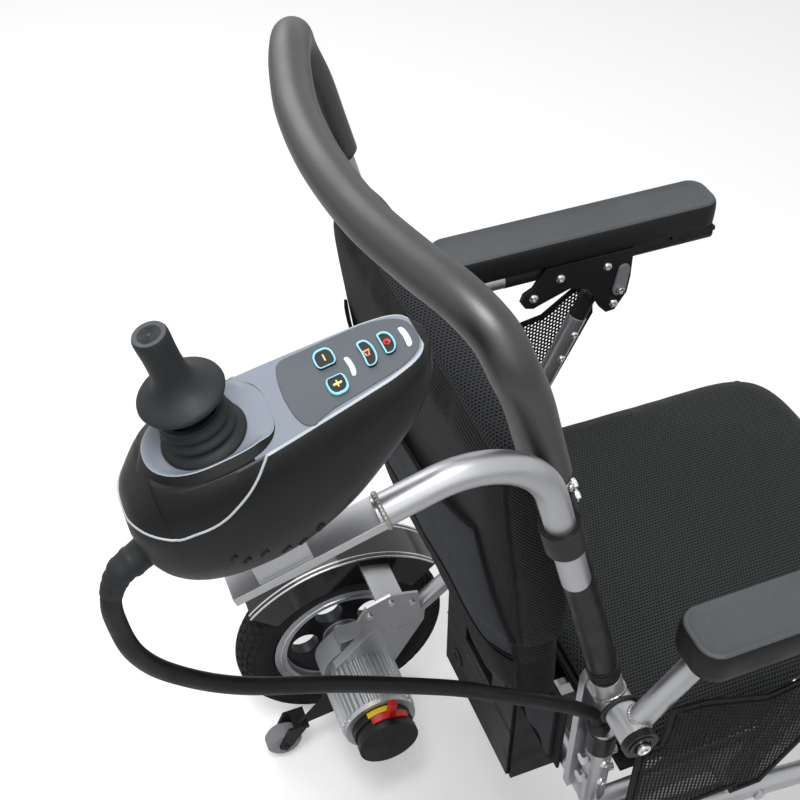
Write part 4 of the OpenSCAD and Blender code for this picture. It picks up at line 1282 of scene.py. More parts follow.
@dataclass(frozen=True)
class BackCover(Assembly):
    """Padded mesh back with ribs, a dark lower part and a pocket with a notched edge."""

    bottom: float = 545.0
    top: float = 925.0
    low_half: float = 185.7
    high_half: float = 200.3
    rear: float = 90.0
    rear_lean: float = 0.128
    rear_z: float = 705.0
    dark_to: float = 630.0
    near: float = 14.0
    stuffing: Stuffing = Stuffing(voxel=0.0055, cap=0.009)

    def half_width(self, z: float) -> float:
        """Half width at a height, narrower between the hinges."""
        share = min(1.0, max(0.0, (z - 657) / 23))
        return self.low_half + (self.high_half - self.low_half) * share * share * (3 - 2 * share)

    def front(self, z: float) -> float:
        """Front face at a height."""
        return max(22.0, POST.lean(z) - 16)

    def back(self, z: float) -> float:
        """Rear face at a height."""
        return self.rear + self.rear_lean * (z - self.rear_z)

    def build(self) -> None:
        """Makes the stuffed cover, then what is sewn on it."""
        made = self._cover()
        find = surface_finder(made)
        self._piping(find)
        self._pocket(find)
        self._post_tape()

    def _cover(self) -> Piece:
        """The stuffed cover.

        Returns:
            The cover, in place.
        """
        rows, count = 44, 88
        rings = []
        for i in range(rows + 1):
            share = i / rows
            z = self.bottom + 3 + (self.top - self.bottom - 6) * share
            edge = min(share, 1 - share) * rows
            inset = 5 + 9 * max(0.0, 1 - edge / 3) ** 2
            deep = max(9.0, (self.back(z) - self.front(z)) / 2) - 4 - inset / 3
            middle = (self.back(z) + self.front(z)) / 2
            ring = []
            for a in turns(count):
                x, y = round_box(a, self.half_width(z) - inset, deep, 6)
                ring.append(self.at(x, middle + y, z))
            rings.append(ring)
        made = Shape().skin(rings).piece("back_cover_mesh", [BOOK.back, BOOK.skirt], None, "back_mesh", 60)

        def keep_in(place: np.ndarray) -> np.ndarray:
            """Holds the cover between the posts.

            Args:
                place: points in metres.

            Returns:
                The nearest points allowed.
            """
            out = place.copy()
            for row in out:
                z = min(self.top + 4, max(self.bottom - 2, row[2] / MM))
                wide = (self.half_width(z) - 0.4) * MM
                row[0] = min(wide, max(-wide, row[0]))
                row[2] = z * MM
            return out

        self.stuffing.fill(made, keep_in)
        for face in made.data.polygons:
            z = face.center.z / MM
            beside = abs(face.center.x) / MM > self.half_width(z) - 13 and abs(face.normal.x) > 0.5
            face.material_index = 1 if z < self.dark_to or beside else 0
        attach(made, "backrest")
        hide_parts("back_cover")
        return made

    def _on_rear(self, find: Finder, x: float,
                 z: float, proud: float = 0.0) -> Vector:
        """A point on the rear face of the cover.

        Args:
            find: finds points of the cover.
            x, z: the point's place.
            proud: how far it stands off.

        Returns:
            The point in metres.
        """
        spot = self.at(x, self.back(z), z)
        hit = find(self.at(x, 400, z), AHEAD)
        if hit is None or abs(hit.y - spot.y) > self.near * MM:
            hit = find(spot, Vector())
        return hit + Vector((0, proud * MM, 0))

    def _piping(self, find: Finder) -> None:
        """Piping along both outer edges and a hem over the dark lower part.

        Args:
            find: finds points of the cover.
        """
        shape = Shape()
        low, high = self.bottom + 18, self.top - 16
        for sign in (1, -1):
            edge = [self._on_rear(find, sign * (self.half_width(z) - 11), z, 0.2)
                    for z in np.linspace(low, high, 60)]
            shape.tube(edge, 0.0026, 10)
        wide = self.half_width(self.dark_to) - 13
        hem = [self._on_rear(find, x, self.dark_to, 0.3) for x in np.linspace(-wide, wide, 60)]
        shape.tube(hem, 0.0016, 8)
        shape.piece("back_piping", [BOOK.piping], "backrest", "back_mesh")

    def _pocket(self, find: Finder) -> None:
        """A cloth pocket whose upper edge dips in the middle, with a hem.

        Args:
            find: finds points of the cover.
        """
        low, notch, rise, wide = 640.0, 764.0, 42.0, 176.0

        def top_at(u: float) -> float:
            """Height of the upper edge at a share of the half width."""
            return notch + rise * abs(u) ** 1.3

        def half_at(z: float) -> float:
            """Half width of the pocket at a height."""
            return min(wide, 142 + 0.2 * (841 - z))

        rows, columns = 34, 44
        front, rear = [], []
        for i in range(rows + 1):
            line, behind = [], []
            for j in range(columns + 1):
                u = 2 * j / columns - 1
                z = low + (top_at(u) - low) * i / rows
                x = u * half_at(z)
                edge = max(0.0, 1 - abs(u) ** 3.0)
                swell = math.sin(math.pi * min(1.0, i / rows * 0.62 + 0.06))
                crease = 0.9 * math.sin(x / 17 + z / 31) + 0.7 * math.sin(z / 11 - x / 47)
                bulge = 1.2 + (9.0 * swell + crease) * edge ** 0.7
                line.append(self._on_rear(find, x, z, bulge + 1.6))
                behind.append(self._on_rear(find, x, z, bulge * 0.96))
            front.append(line)
            rear.append(behind)
        made = Shape().cloth(front, rear).piece(
            "back_pocket_cloth", [BOOK.pocket], "backrest", "pocket_cloth", 60, weld=True)
        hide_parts("back_pocket")
        hem = Shape().tube(rim_of(front), 0.0017, 8, loop=True)
        edging = hem.piece("pocket_hem", [BOOK.piping], "backrest", "pocket_cloth")

    def _post_tape(self) -> None:
        """A taped patch with a bolt above the arm's clip on the near post."""
        shape = Shape()
        low, high = (self.at(*POST.at(run, Side.RIGHT)) for run in (308.0, 319.0))
        axis = POST.along()
        profile = ((0.0111, 0.0), (0.0126, 0.0004), (0.0128, 0.0055), (0.0126, (high - low).length - 0.0004),
                   (0.0111, (high - low).length))
        shape.skin([[p + axis * lift for p in circle(low, axis, reach, 40)] for reach, lift in profile],
                   caps=False, loop=True)
        out = (POST.ahead() * 0.7 - Vector((0.72, 0, 0))).normalized()
        shape.bolt(self.at(*POST.at(313.0, Side.RIGHT)) + out * 0.0124, out, 0.0038, BoltKind.HEX, 1)
        shape.piece("post_tape", [BOOK.tape, BOOK.steel], "backrest", "back_mesh")


# Seat


@dataclass(frozen=True)
class SeatCushion(Assembly):
    """Mesh cushion on its board, with a welt round its lower edge."""

    half: float = 217.0
    length: float = 428.0
    gap: float = 32.0
    low: float = 457.0
    thick: float = 32.0
    rail: Triple = (222.0, -440.0, 440.0)
    stuffing: Stuffing = Stuffing(voxel=0.005, cap=0.006)

    def ring(self, z: float, inset: float, count: int = 120) -> list[Vector]:
        """Outline of the cushion.

        Args:
            z: its height.
            inset: how far it is drawn in.
            count: its points.

        Returns:
            The outline in metres.
        """
        out = []
        for a in turns(count):
            x, y = round_box(a, self.half - inset, self.length / 2 - inset, 7 if math.sin(a) < 0 else 9)
            out.append(self.at(x, y - self.gap - self.length / 2, z))
        return out

    def build(self) -> None:
        """Makes the stuffed cushion and its welt."""
        h = self.thick
        levels = [(0.4, 10), (2, 5), (5, 2), (9, 1), (15, 0.5), (21, 1.5), (26, 5), (29, 11), (31, 22),
                  (32, 48), (32, 90), (32, 130)]
        rings = [self.ring(self.low + up * h / 32, inset) for up, inset in levels]
        made = Shape().skin(rings).piece("seat_cushion_mesh", [BOOK.seat], None, "seat_mesh", 60)
        middle = self.at(0, -self.gap - self.length / 2, 0)

        def keep_in(place: np.ndarray) -> np.ndarray:
            """Holds the cushion on its board.

            Args:
                place: points in metres.

            Returns:
                The nearest points allowed.
            """
            out = place.copy()
            out[:, 0] = np.clip(out[:, 0], -(self.half + 1) * MM, (self.half + 1) * MM)
            reach = (self.length / 2 + 1) * MM
            out[:, 1] = np.clip(out[:, 1], middle.y - reach, middle.y + reach)
            out[:, 2] = np.clip(out[:, 2], (self.low + 0.2) * MM, (self.low + h + 5) * MM)
            return out

        self.stuffing.fill(made, keep_in)
        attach(made, "seat_frame")
        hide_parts("seat_cushion")
        welt = Shape().tube(self.ring(self.low + 8, -0.4, 160), 0.0021, 10, loop=True)
        welt.piece("seat_welt", [BOOK.piping], "seat_frame", "seat_mesh")
        plugs = Shape()
        for side in Side:
            plugs.lathe(self.at(side.value * self.rail[0], *self.rail[1:]), AHEAD, [
                (0.0111, -0.024), (0.0117, -0.0236), (0.0119, 0), (0.0112, 0.0022), (0.006, 0.0034),
                (0.001, 0.0036)])
        plugs.piece("rail_end_plugs", [BOOK.cap], "seat_frame", "black_plastic")


@dataclass(frozen=True)
class RearSkirt(Assembly):
    """Cloth between the rear uprights, with a flap on its near half."""

    half: float = 172.0
    low: float = 432.0
    high: float = 538.0
    y: float = 12.6
    flap: Box = (-162.0, -46.0, 436.0, 520.0)
    thick: float = 1.4

    def build(self) -> None:
        """Makes the skirt and the flap as hung sheets."""
        main = (-self.half, self.half, self.low, self.high)
        skirt = self._sheet(main, self.y, 1.1, 44)
        made = skirt.piece("rear_skirt_cloth", [BOOK.skirt], "seat_frame", "back_mesh", 60, weld=True)
        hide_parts("rear_skirt")
        hem = self._hem(main, self.y + 0.9)
        edging = hem.piece("rear_skirt_hem", [BOOK.piping], "seat_frame", "back_mesh")
        x0, x1, z0, z1 = self.flap
        flap = self._sheet(self.flap, self.y + 4.2, 1.4, 22)
        cover = flap.piece("rear_skirt_flap", [BOOK.pocket], "seat_frame", "pocket_cloth", 60, weld=True)
        rim = self._hem(self.flap, self.y + 5.2)
        trim = rim.piece("rear_flap_hem", [BOOK.piping], "seat_frame", "pocket_cloth")

    def _sheet(self, box: Box, y: float, wave: float, columns: int) -> Shape:
        """A hung sheet with a slight wave.

        Args:
            box: least and greatest x, then z.
            y: its front face.
            wave: height of the wave at the free edge.
            columns: faces across.

        Returns:
            The sheet's shape.
        """
        x0, x1, z0, z1 = box
        faces = []
        for offset in (0.0, self.thick):
            rows = []
            for i in range(13):
                z = z0 + (z1 - z0) * i / 12
                free = 1 - i / 12
                rows.append([self.at(x0 + (x1 - x0) * j / columns,
                                     y + offset + wave * free * math.sin(j * 0.9 + 0.3), z)
                             for j in range(columns + 1)])
            faces.append(rows)
        return Shape().cloth(*faces)

    def _hem(self, box: Box, y: float) -> Shape:
        """Binding along the two sides and the lower edge.

        Args:
            box: least and greatest x, then z.
            y: its middle.

        Returns:
            The binding's shape.
        """
        x0, x1, z0, z1 = box
        line = [(x0, y, z) for z in np.linspace(z1, z0, 14)]
        line += [(x, y, z0) for x in np.linspace(x0, x1, 30)[1:-1]]
        line += [(x1, y, z) for z in np.linspace(z0, z1, 14)]
        return Shape().tube(self.line(line), 0.0019, 8)


@dataclass(frozen=True)
class SideGuards(Assembly):
    """Net clothing guards with a zip tape round the edge."""

    x: float = 263.7
    outline: tuple[Pair, ...] = (
        (-2, 457), (-2, 592), (-24, 592), (-27, 644), (-62, 638), (-128, 610), (-165, 616), (-205, 646),
        (-229, 638), (-233, 600), (-188, 498), (-162, 457), (-156, 446), (-122, 446), (-119, 457))
    tape: float = 5.0
    zip_inset: float = 8.0

    def build(self) -> None:
        """Makes one net and one tape for each side."""
        for side in Side:
            x = side.value * self.x
            fine: list[Pair] = []
            for a, b in zip(self.outline, self.outline[1:] + self.outline[:1]):
                steps = max(1, round(math.dist(a, b) / 9))
                fine += [(a[0] + (b[0] - a[0]) * k / steps, a[1] + (b[1] - a[1]) * k / steps)
                         for k in range(steps)]
            rims = [[self.at(x + off, y, z) for y, z in fine] for off in (-0.5, 0.5)]
            net = Shape().skin(rims)
            made = net.piece(f"{side.word}_guard_net", [BOOK.net], "seat_frame", "guard_mesh")
            if side is Side.LEFT:
                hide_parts("side_guards")
            tape = Shape()
            for off in (-1.1, 0.7):
                lines = (fine, self._shrink(fine, self.tape))
                outer, inner = ([self.at(x + off, *p) for p in line] for line in lines)
                tops = [[p + Vector((0.0006, 0, 0)) for p in line] for line in (outer, inner)]
                tape.skin([outer, *tops, inner], caps=False, loop=True)
            teeth = [self.at(x + side.value * 1.2, *p) for p in self._shrink(fine, self.zip_inset)]
            tape.tube(teeth, 0.0012, 8, loop=True, flat=0.7)
            edging = tape.piece(f"{side.word}_guard_tape", [BOOK.piping], "seat_frame", "guard_mesh")
            ys, zs = zip(*fine)
            (max(ys) - min(ys)) * MM
            (max(zs) - min(zs)) * MM

    @staticmethod
    def _shrink(line: Sequence[Pair], inset: float) -> list[Pair]:
        """Moves a closed line inwards.

        Args:
            line: its points.
            inset: how far it moves.

        Returns:
            The new line.
        """
        out = []
        count = len(line)
        turn = sum(a[0] * b[1] - b[0] * a[1] for a, b in zip(line, list(line[1:]) + [line[0]]))
        sign = 1 if turn > 0 else -1
        for i, (y, z) in enumerate(line):
            a, b = line[i - 1], line[(i + 1) % count]
            dy, dz = b[0] - a[0], b[1] - a[1]
            size = math.hypot(dy, dz) or 1.0
            out.append((y - sign * dz / size * inset, z + sign * dy / size * inset))
        return out


# Controller


@dataclass(frozen=True)
class Controller(Assembly):
    """Joystick controller: grey deck, black dome, keypad, boot and stick.

    Places on it are x, v forward and w up from the middle of the joystick on the deck.
    """

    origin: Triple = (-232.0, 316.0, 1063.0)
    tilt: float = 14.0
    stations: tuple[Box, ...] = (
        (-62, -40, -48, 6), (-59, -24, -63, 20), (-48, -10, -78, 32), (-29, 6, -89, 39), (0, 12, -93, 42),
        (30, 12, -91, 40), (60, 10, -81, 37), (90, 7.5, -62, 33), (111, 5, -45, 29.5), (127, 2.5, -27, 21.5),
        (135, -2, -14, 8))
    split: tuple[Triple, ...] = (
        (-32.6, 27, -0.2), (-35.2, 22.6, -3.8), (-37.5, 17.5, -8.3), (-39.4, 10.4, -13.6),
        (-40.7, 2.6, -18.2), (-40.7, -6.9, -23.3), (-39.9, -15.9, -26), (-39, -25.3, -26.7),
        (-36.3, -34.9, -27.6), (-32.9, -42, -25.5), (-28.3, -48.7, -23.3), (-20.4, -53.4, -22.1),
        (-10.7, -57.2, -22.7), (0, -58.6, -23.1))
    panel: tuple[Pair, ...] = (
        (0, 47.5), (13.6, 48.4), (23.8, 50.6), (27.2, 53.2), (28.4, 57), (28.4, 72), (28.2, 88),
        (27.6, 103), (25.6, 113.2), (22, 121.6), (16.6, 127.2), (9.1, 129.8), (0.6, 129.9), (-5.3, 127.9),
        (-10.3, 123.8), (-14.3, 116.8), (-17, 107.7), (-19.8, 90.5), (-22.9, 70.5), (-26, 61.5),
        (-28, 57), (-26.6, 53.4), (-22.6, 50.8), (-13.8, 48.6))
    vents: tuple[Triple, ...] = (
        (-16, -58.5, 3), (-10.5, -65.6, 3.6), (-0.5, -66, 4.4), (11, -74, 4.8), (21.4, -76.6, 4.4),
        (34, -72.4, 4))
    deck_from: float = 20.0
    bevel_from: float = 26.0
    deck_to: float = 130.6
    keys: tuple[tuple[Symbol, float, float], ...] = (
        (Symbol.MINUS, 13.8, 77.4), (Symbol.PLUS, -8.8, 77.5), (Symbol.HORN, 3.4, 99.8),
        (Symbol.POWER, 4.6, 112.4))

    @staticmethod
    def sway(v: float) -> float:
        """How far the shell's middle line turns outwards."""
        return 0.06 * max(0.0, v - 25)

    def place(self, x: float, v: float, w: float) -> Vector:
        """A point of the controller in metres."""
        c, s = math.cos(math.radians(self.tilt)), math.sin(math.radians(self.tilt))
        return self.at(self.origin[0] + x, self.origin[1] - c * v + s * w, self.origin[2] + s * v + c * w)

    def up(self) -> Vector:
        """Direction out of the deck."""
        return Vector((0, math.sin(math.radians(self.tilt)), math.cos(math.radians(self.tilt))))

    def section(self, v: float) -> tuple[float, float, float]:
        """The shell's section.

        Args:
            v: distance forward.

        Returns:
            Its top, bottom and half width.
        """
        data = np.array(self.stations)
        i = int(np.clip(np.searchsorted(data[:, 0], v) - 1, 0, len(data) - 2))
        t = (v - data[i, 0]) / (data[i + 1, 0] - data[i, 0])
        out = []
        for k in (1, 2, 3):
            slopes = []
            for n in (i, i + 1):
                lo, hi = max(0, n - 1), min(len(data) - 1, n + 1)
                slopes.append((data[hi, k] - data[lo, k]) / (data[hi, 0] - data[lo, 0]))
            span = data[i + 1, 0] - data[i, 0]
            a, b = data[i, k], data[i + 1, k]
            out.append((2 * t ** 3 - 3 * t ** 2 + 1) * a + (t ** 3 - 2 * t ** 2 + t) * span * slopes[0]
                       + (3 * t ** 2 - 2 * t ** 3) * b + (t ** 3 - t ** 2) * span * slopes[1])
        return out[0], out[1], out[2]

    def half_at(self, v: float, w: float) -> float:
        """Half width of the shell.

        Args:
            v: distance forward.
            w: height over the deck.

        Returns:
            The half width there.
        """
        top, low, half = self.section(v)
        share = abs((w - (top + low) / 2) / max((top - low) / 2, 0.1))
        return half * max(0.0, 1 - min(1.0, share) ** 3) ** (1 / 3)

    def build(self) -> None:
        """Makes the shell, keypad, boot, stick and keys."""
        self._shell()
        self._dome()
        self._keypad()
        self._stick()
        for symbol, x, v in self.keys:
            self._key(symbol, x, v)

    def _shell(self) -> None:
        """The shell with a flat deck, a bevel painted pale as an edge highlight, and the dome's split line.
        """
        deck_steps, side_steps, bevel = 7, 22, 0.8
        rings = []
        places = sorted(set(np.linspace(-61.6, 134.6, 92)) | {-61.9, -61.3, 134.9})
        for v in places:
            top, low, half = self.section(v)
            middle, tall = (top + low) / 2, (top - low) / 2
            right: list[Pair] = []
            if top > bevel:
                edge = self.half_at(v, 0.0)
                right += [((edge - bevel) * k / deck_steps, 0.0) for k in range(deck_steps + 1)]
                start = -bevel
            else:
                cut = middle + tall * 0.86
                flat = self.half_at(v, cut)
                right += [(flat * k / deck_steps, middle + tall * (1 - 0.14 * (k / deck_steps) ** 3))
                          for k in range(deck_steps + 1)]
                start = cut - min(bevel, tall * 0.1)
            share = max(-1.0, min(1.0, (start - middle) / max(tall, 0.1)))
            angle0 = math.asin(math.copysign(abs(share) ** 1.5, share))
            for k in range(side_steps + 1):
                a = angle0 + (-math.pi / 2 - angle0) * k / side_steps
                x, w = round_box(a, half, tall, 3)
                right.append((abs(x), middle + w))
            ring = right + [(-x, w) for x, w in reversed(right[1:-1])]
            rings.append([self.place(x + self.sway(v), v, w) for x, w in ring])
        shape = Shape().skin(rings)
        width = len(rings[0])
        # Deck faces take the deck finish; the ring at the deck's edge takes the pale finish, a painted
        # highlight along the edge.
        for f in range((len(places) - 1) * width):
            row, column = divmod(f, width)
            v = (places[row] + places[row + 1]) / 2
            k = min(column, width - 1 - column)
            shape.marks[f] = 2
            if k < deck_steps and self.deck_from < v < self.deck_to:
                shape.marks[f] = 0
            elif k == deck_steps and self.bevel_from < v < self.deck_to:
                shape.marks[f] = 1
        made = shape.piece("controller_shell", [BOOK.deck, BOOK.bezel, BOOK.shell], "backrest",
                           "control_shell", 30)
        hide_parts("controller_base", "controller_top")
        self._seam(made)

    def _dome(self) -> None:
        """The raised round collar with a pale rim line, a painted highlight, and a pale dished well round the
        boot.
        """
        count = 96
        rim, front = 27.8, 38.4
        outer = ((-46, -9, 0), (-42, -4, 0.12), (-38.4, 0.8, 0.42), (-36.2, 3, 0.74), (-35, 4.4, 0.94))
        # The outermost inner ring, the rim, takes the pale finish as a painted highlight line; the well
        # inside it takes the deck finish.
        inner = ((1, 4.8, 1), (0.97, 4.5, 2), (0.92, 3, 2), (0.86, 1.6, 2), (0.8, 0.7, 2), (0.6, 0.25, 2))
        rings, marks = [], []
        for rear, w, share in outer:
            rings.append(self._dome_ring(count, rear, front, w, lambda v, w=w, share=share: (
                (1 - share) * (self.half_at(v, min(w, -0.6)) + 0.1) + share * rim)))
            marks.append(0)
        for share, w, mark in inner:
            rings.append(self._dome_ring(count, 2 - 36.6 * share, 2 + (front - 2) * share, w,
                                         lambda v, share=share: rim * share))
            marks.append(mark)
        shape = Shape().skin(rings)
        for row, mark in enumerate(marks[1:]):
            shape.marks[row * count:(row + 1) * count] = [mark] * count
        shape.marks[-1] = 2
        shape.piece("controller_dome", [BOOK.shell, BOOK.bezel, BOOK.deck], "backrest", "control_shell", 50)

    def _dome_ring(self, count: int, rear: float, front: float, w: float,
                   half: Callable[[float], float]) -> list[Vector]:
        """One ring of the dome, sinking to the deck at its front.

        Args:
            count: points of the ring.
            rear, front: where the ring ends.
            w: its height.
            half: its half width at a distance forward.

        Returns:
            The ring's points.
        """
        ring = []
        middle, reach = (rear + front) / 2, (front - rear) / 2
        for angle in turns(count):
            x, along = round_box(angle, 1.0, 1.0, 3.4 if math.sin(angle) > 0 else 2.3)
            v = middle + reach * along
            ease = min(1.0, max(0.0, (v - 25) / 13.4))
            sink = 1 - ease * ease * (3 - 2 * ease)
            ring.append(self.place(x * half(v), v, w * sink + 0.05 if w > 0 else w))
        return ring

    def _seam(self, shell: Piece) -> None:
        """Split line of the dome, pale as a painted highlight, and dark vent slots.

        Args:
            shell: the piece that they lie on.
        """
        fine = curve_through(self.split + tuple((-x, v, w) for x, v, w in self.split[-2::-1]), 6)
        find = surface_finder(shell)
        line = Shape().tube([find(self.place(*p), Vector()) for p in fine], 0.0008, 8)
        line.piece("controller_split_line", [BOOK.bezel], "backrest", "control_shell")
        slots = Shape()
        for v, w, long in self.vents:
            for sign in (1, -1):
                a = self.place(sign * (self.half_at(v, w) - 0.5), v, w)
                b = self.place(sign * (self.half_at(v + long, w + 3) - 0.5), v + long, w + 3)
                slots.tube([a, b], 0.0017, 8)
        slots.piece("controller_vents", [BOOK.key], "backrest", "control_shell")

    def _panel_line(self, inset: float, w: float) -> list[Vector]:
        """Outline of the keypad.

        Args:
            inset: how far it is drawn in.
            w: its height.

        Returns:
            The outline in metres.
        """
        fine = curve_through([(*p, 0.0) for p in self.panel + self.panel[:1]], 4)[:-1]
        mid_x, mid_v = 3.0, 90.0
        out = []
        for x, v, _ in fine:
            far = math.hypot(x - mid_x, v - mid_v)
            out.append(self.place(x - inset * (x - mid_x) / far, v - inset * (v - mid_v) / far, w))
        return out

    def _keypad(self) -> None:
        """Dark keypad panel with a fine rim and two lamp windows."""
        rings = [self._panel_line(inset, w)
                 for inset, w in ((0.0, 0.02), (0.0, 0.5), (0.5, 0.85), (1.3, 0.66), (12.0, 0.66))]
        made = Shape().skin(rings).piece("keypad_plate", [BOOK.keypad], "backrest", "control_keypad", 25)
        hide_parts("keypad_panel")
        lamps = Shape()
        for x, v, half_x, half_v in ((0.6, 88.6, 8.0, 1.6), (3.8, 123.4, 8.4, 1.8)):
            ring = [self.place(x + a, v + b - 1.0 * (a / half_x) ** 2 + 0.4, 0.6)
                    for a, b in (round_box(turn, half_x, half_v, 4) for turn in turns(28))]
            lamps.prism(ring, self.up() * 0.0007, bevel=0.4)
        lamps.piece("keypad_windows", [BOOK.window], "backrest", "control_keypad")

    def _stick(self) -> None:
        """Bellows boot, then the stick with its skirt and ribbed top."""
        base, axis, sides = self.place(0, 0, 0), self.up(), 56
        # The boot's wide dark foot is partly the real foot and partly painted shade: it covers most of the
        # pale well at the sides, where the knob's shadow falls.
        boot = [(15, 0.2), (24.4, 0.3), (24.8, 1.2), (24.2, 2.6), (21.8, 4.4), (19.6, 6.2), (19.8, 7.4),
                (21.2, 8.8), (21.8, 10.4), (21, 12), (18.8, 13.3), (18.6, 14.2), (19.6, 15.8),
                (20.2, 17.4), (19.6, 18.9), (18, 20.3), (18, 21.8), (18.8, 23.6), (16.2, 24)]
        bellows = Shape().lathe(base, axis, [(r * MM, h * MM) for r, h in boot], sides, loop=True)
        made = bellows.piece("joystick_bellows", [BOOK.rubber], "backrest", "stick_rubber", 60)
        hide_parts("joystick_boot")
        stick = [(4, 19), (8.2, 19.4), (8.4, 27.6), (10.4, 29.6), (14, 31), (22.8, 34.0), (24.2, 35.2),
                 (24.7, 36.4), (24.4, 37.6), (23.4, 38.7), (19, 40.8), (15, 43.2), (12.2, 46.4),
                 (10.6, 50.4), (9.9, 55), (9.6, 61), (9.6, 68), (9.9, 75), (10, 78.6), (9.8, 80.6),
                 (9.2, 81.8), (8.2, 82), (7.2, 81.6), (5, 81.4), (2.5, 81.4)]
        shape = Shape().lathe(base, axis, [(r * MM, h * MM) for r, h in stick], sides)
        # The top ring and cap take the paler rubber: a painted highlight on the upward faces.
        top_from, top_to = 20 * sides, 24 * sides
        shape.marks[top_from:top_to] = [1] * (top_to - top_from)
        shape.marks[-1] = 1
        for i in range(5):
            ring = circle(base + axis * 0.0816, axis, (1.4 + 1.15 * i) * MM, 40)
            shape.tube(ring, 0.00035, 6, loop=True)
        knob = shape.piece("joystick_knob", [BOOK.rubber, BOOK.stick_top], "stick", "stick_rubber", 50)
        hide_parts("joystick_stick")

    def _key(self, symbol: Symbol, x: float, v: float) -> None:
        """One key: black cap, pale outline and a raised mark, on its own body.

        Args:
            symbol: its mark.
            x, v: its middle.
        """
        outline = self._key_line(symbol)
        ring = [self.place(x + a, v + b, -4.0) for a, b in outline]
        cap = Shape().prism(ring, self.up() * 0.0062, bevel=0.1)
        edge = [self.place(x + a * 0.93, v + b * 0.93, 2.05) for a, b in outline]
        cap.tube(edge, 0.0009, 8, 1, loop=True, flat=0.5)
        for line, loop in self._mark_lines(symbol):
            stroke = [self.place(x + a, v + b, 2.15) for a, b in line]
            cap.tube(stroke, 0.0009, 8, 2, loop=loop, flat=0.5)
        ink = {Symbol.MINUS: BOOK.yellow, Symbol.PLUS: BOOK.yellow, Symbol.HORN: BOOK.orange,
               Symbol.POWER: BOOK.red}[symbol]
        name = symbol.value
        made = cap.piece(f"{name}_key", [BOOK.key, BOOK.outline, ink], f"{name}_button", "key_cap", 40)
        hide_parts(f"{name}_button")

    @staticmethod
    def _key_line(symbol: Symbol) -> list[Pair]:
        """Outline of a key about its middle.

        Args:
            symbol: the key's mark.

        Returns:
            Its points in x and v.
        """
        turn = turns(44)
        if symbol in (Symbol.MINUS, Symbol.PLUS):
            face = 1 if symbol is Symbol.MINUS else -1
            boxes = [round_box(a, 7.6, 5.8, 3.4) for a in turn]
            return [(face * max(-6.9, x), v * (1 - 0.22 * max(0.0, x / 7.6) ** 2)) for x, v in boxes]
        if symbol is Symbol.HORN:
            boxes = [round_box(a, 10.8, 3.4, 3.2) for a in turn]
            return [(x, v + 1.2 - 1.6 * (x / 10.8) ** 2) for x, v in boxes]
        boxes = [round_box(a, 9.0, 5.0, 2.2) for a in turn]
        return [(x, max(-2.9, v - 0.8)) for x, v in boxes]

    @staticmethod
    def _mark_lines(symbol: Symbol) -> list[tuple[list[Pair], bool]]:
        """Strokes of a key's mark.

        Args:
            symbol: the mark.

        Returns:
            Points of each stroke, and whether it is closed.
        """
        bar = [(-2.6, 0.2), (2.6, 0.2)]
        if symbol is Symbol.MINUS:
            return [(bar, False)]
        if symbol is Symbol.PLUS:
            return [(bar, False), ([(0.0, -2.4), (0.0, 2.8)], False)]
        if symbol is Symbol.HORN:
            return [([(-2.4, -0.7), (-2.4, 0.9), (-0.6, 0.9), (1.6, 2.0), (1.6, -1.8), (-0.6, -0.7)], True)]
        ring = [(1.7 * math.sin(a), 0.4 + 1.7 * math.cos(a)) for a in np.linspace(0.7, math.tau - 0.7, 20)]
        return [(ring, False), ([(0.0, 0.6), (0.0, 2.5)], False)]


@dataclass(frozen=True)
class ControlArm(Assembly):
    """Weld and clip bolts of the arm that carries the controller."""

    joint: Triple = (-242.0, 217.2, 971.0)
    along: Triple = (0.0, 0.95630, -0.29237)
    tube: float = 0.0112
    clip_runs: Pair = (287.0, 301.0)
    clip_face: float = 0.0140

    def build(self) -> None:
        """Makes the weld at the flat bar and the clip bolts."""
        axis = Vector(self.along)
        bead = Shape().weld(circle(self.at(*self.joint) + axis * 0.0002, axis, self.tube, 40), 0.0019)
        bead.piece("control_arm_weld", [BOOK.bead], "backrest", "frame_silver")
        bolts, ahead = Shape(), POST.ahead()
        for run in self.clip_runs:
            seat = self.at(*POST.at(run, Side.RIGHT)) + ahead * self.clip_face
            bolts.bolt(seat, ahead, 0.0042, BoltKind.HEX)
        bolts.piece("arm_clip_bolts", [BOOK.steel], "backrest", "bright_steel")


# Hinges and armrests


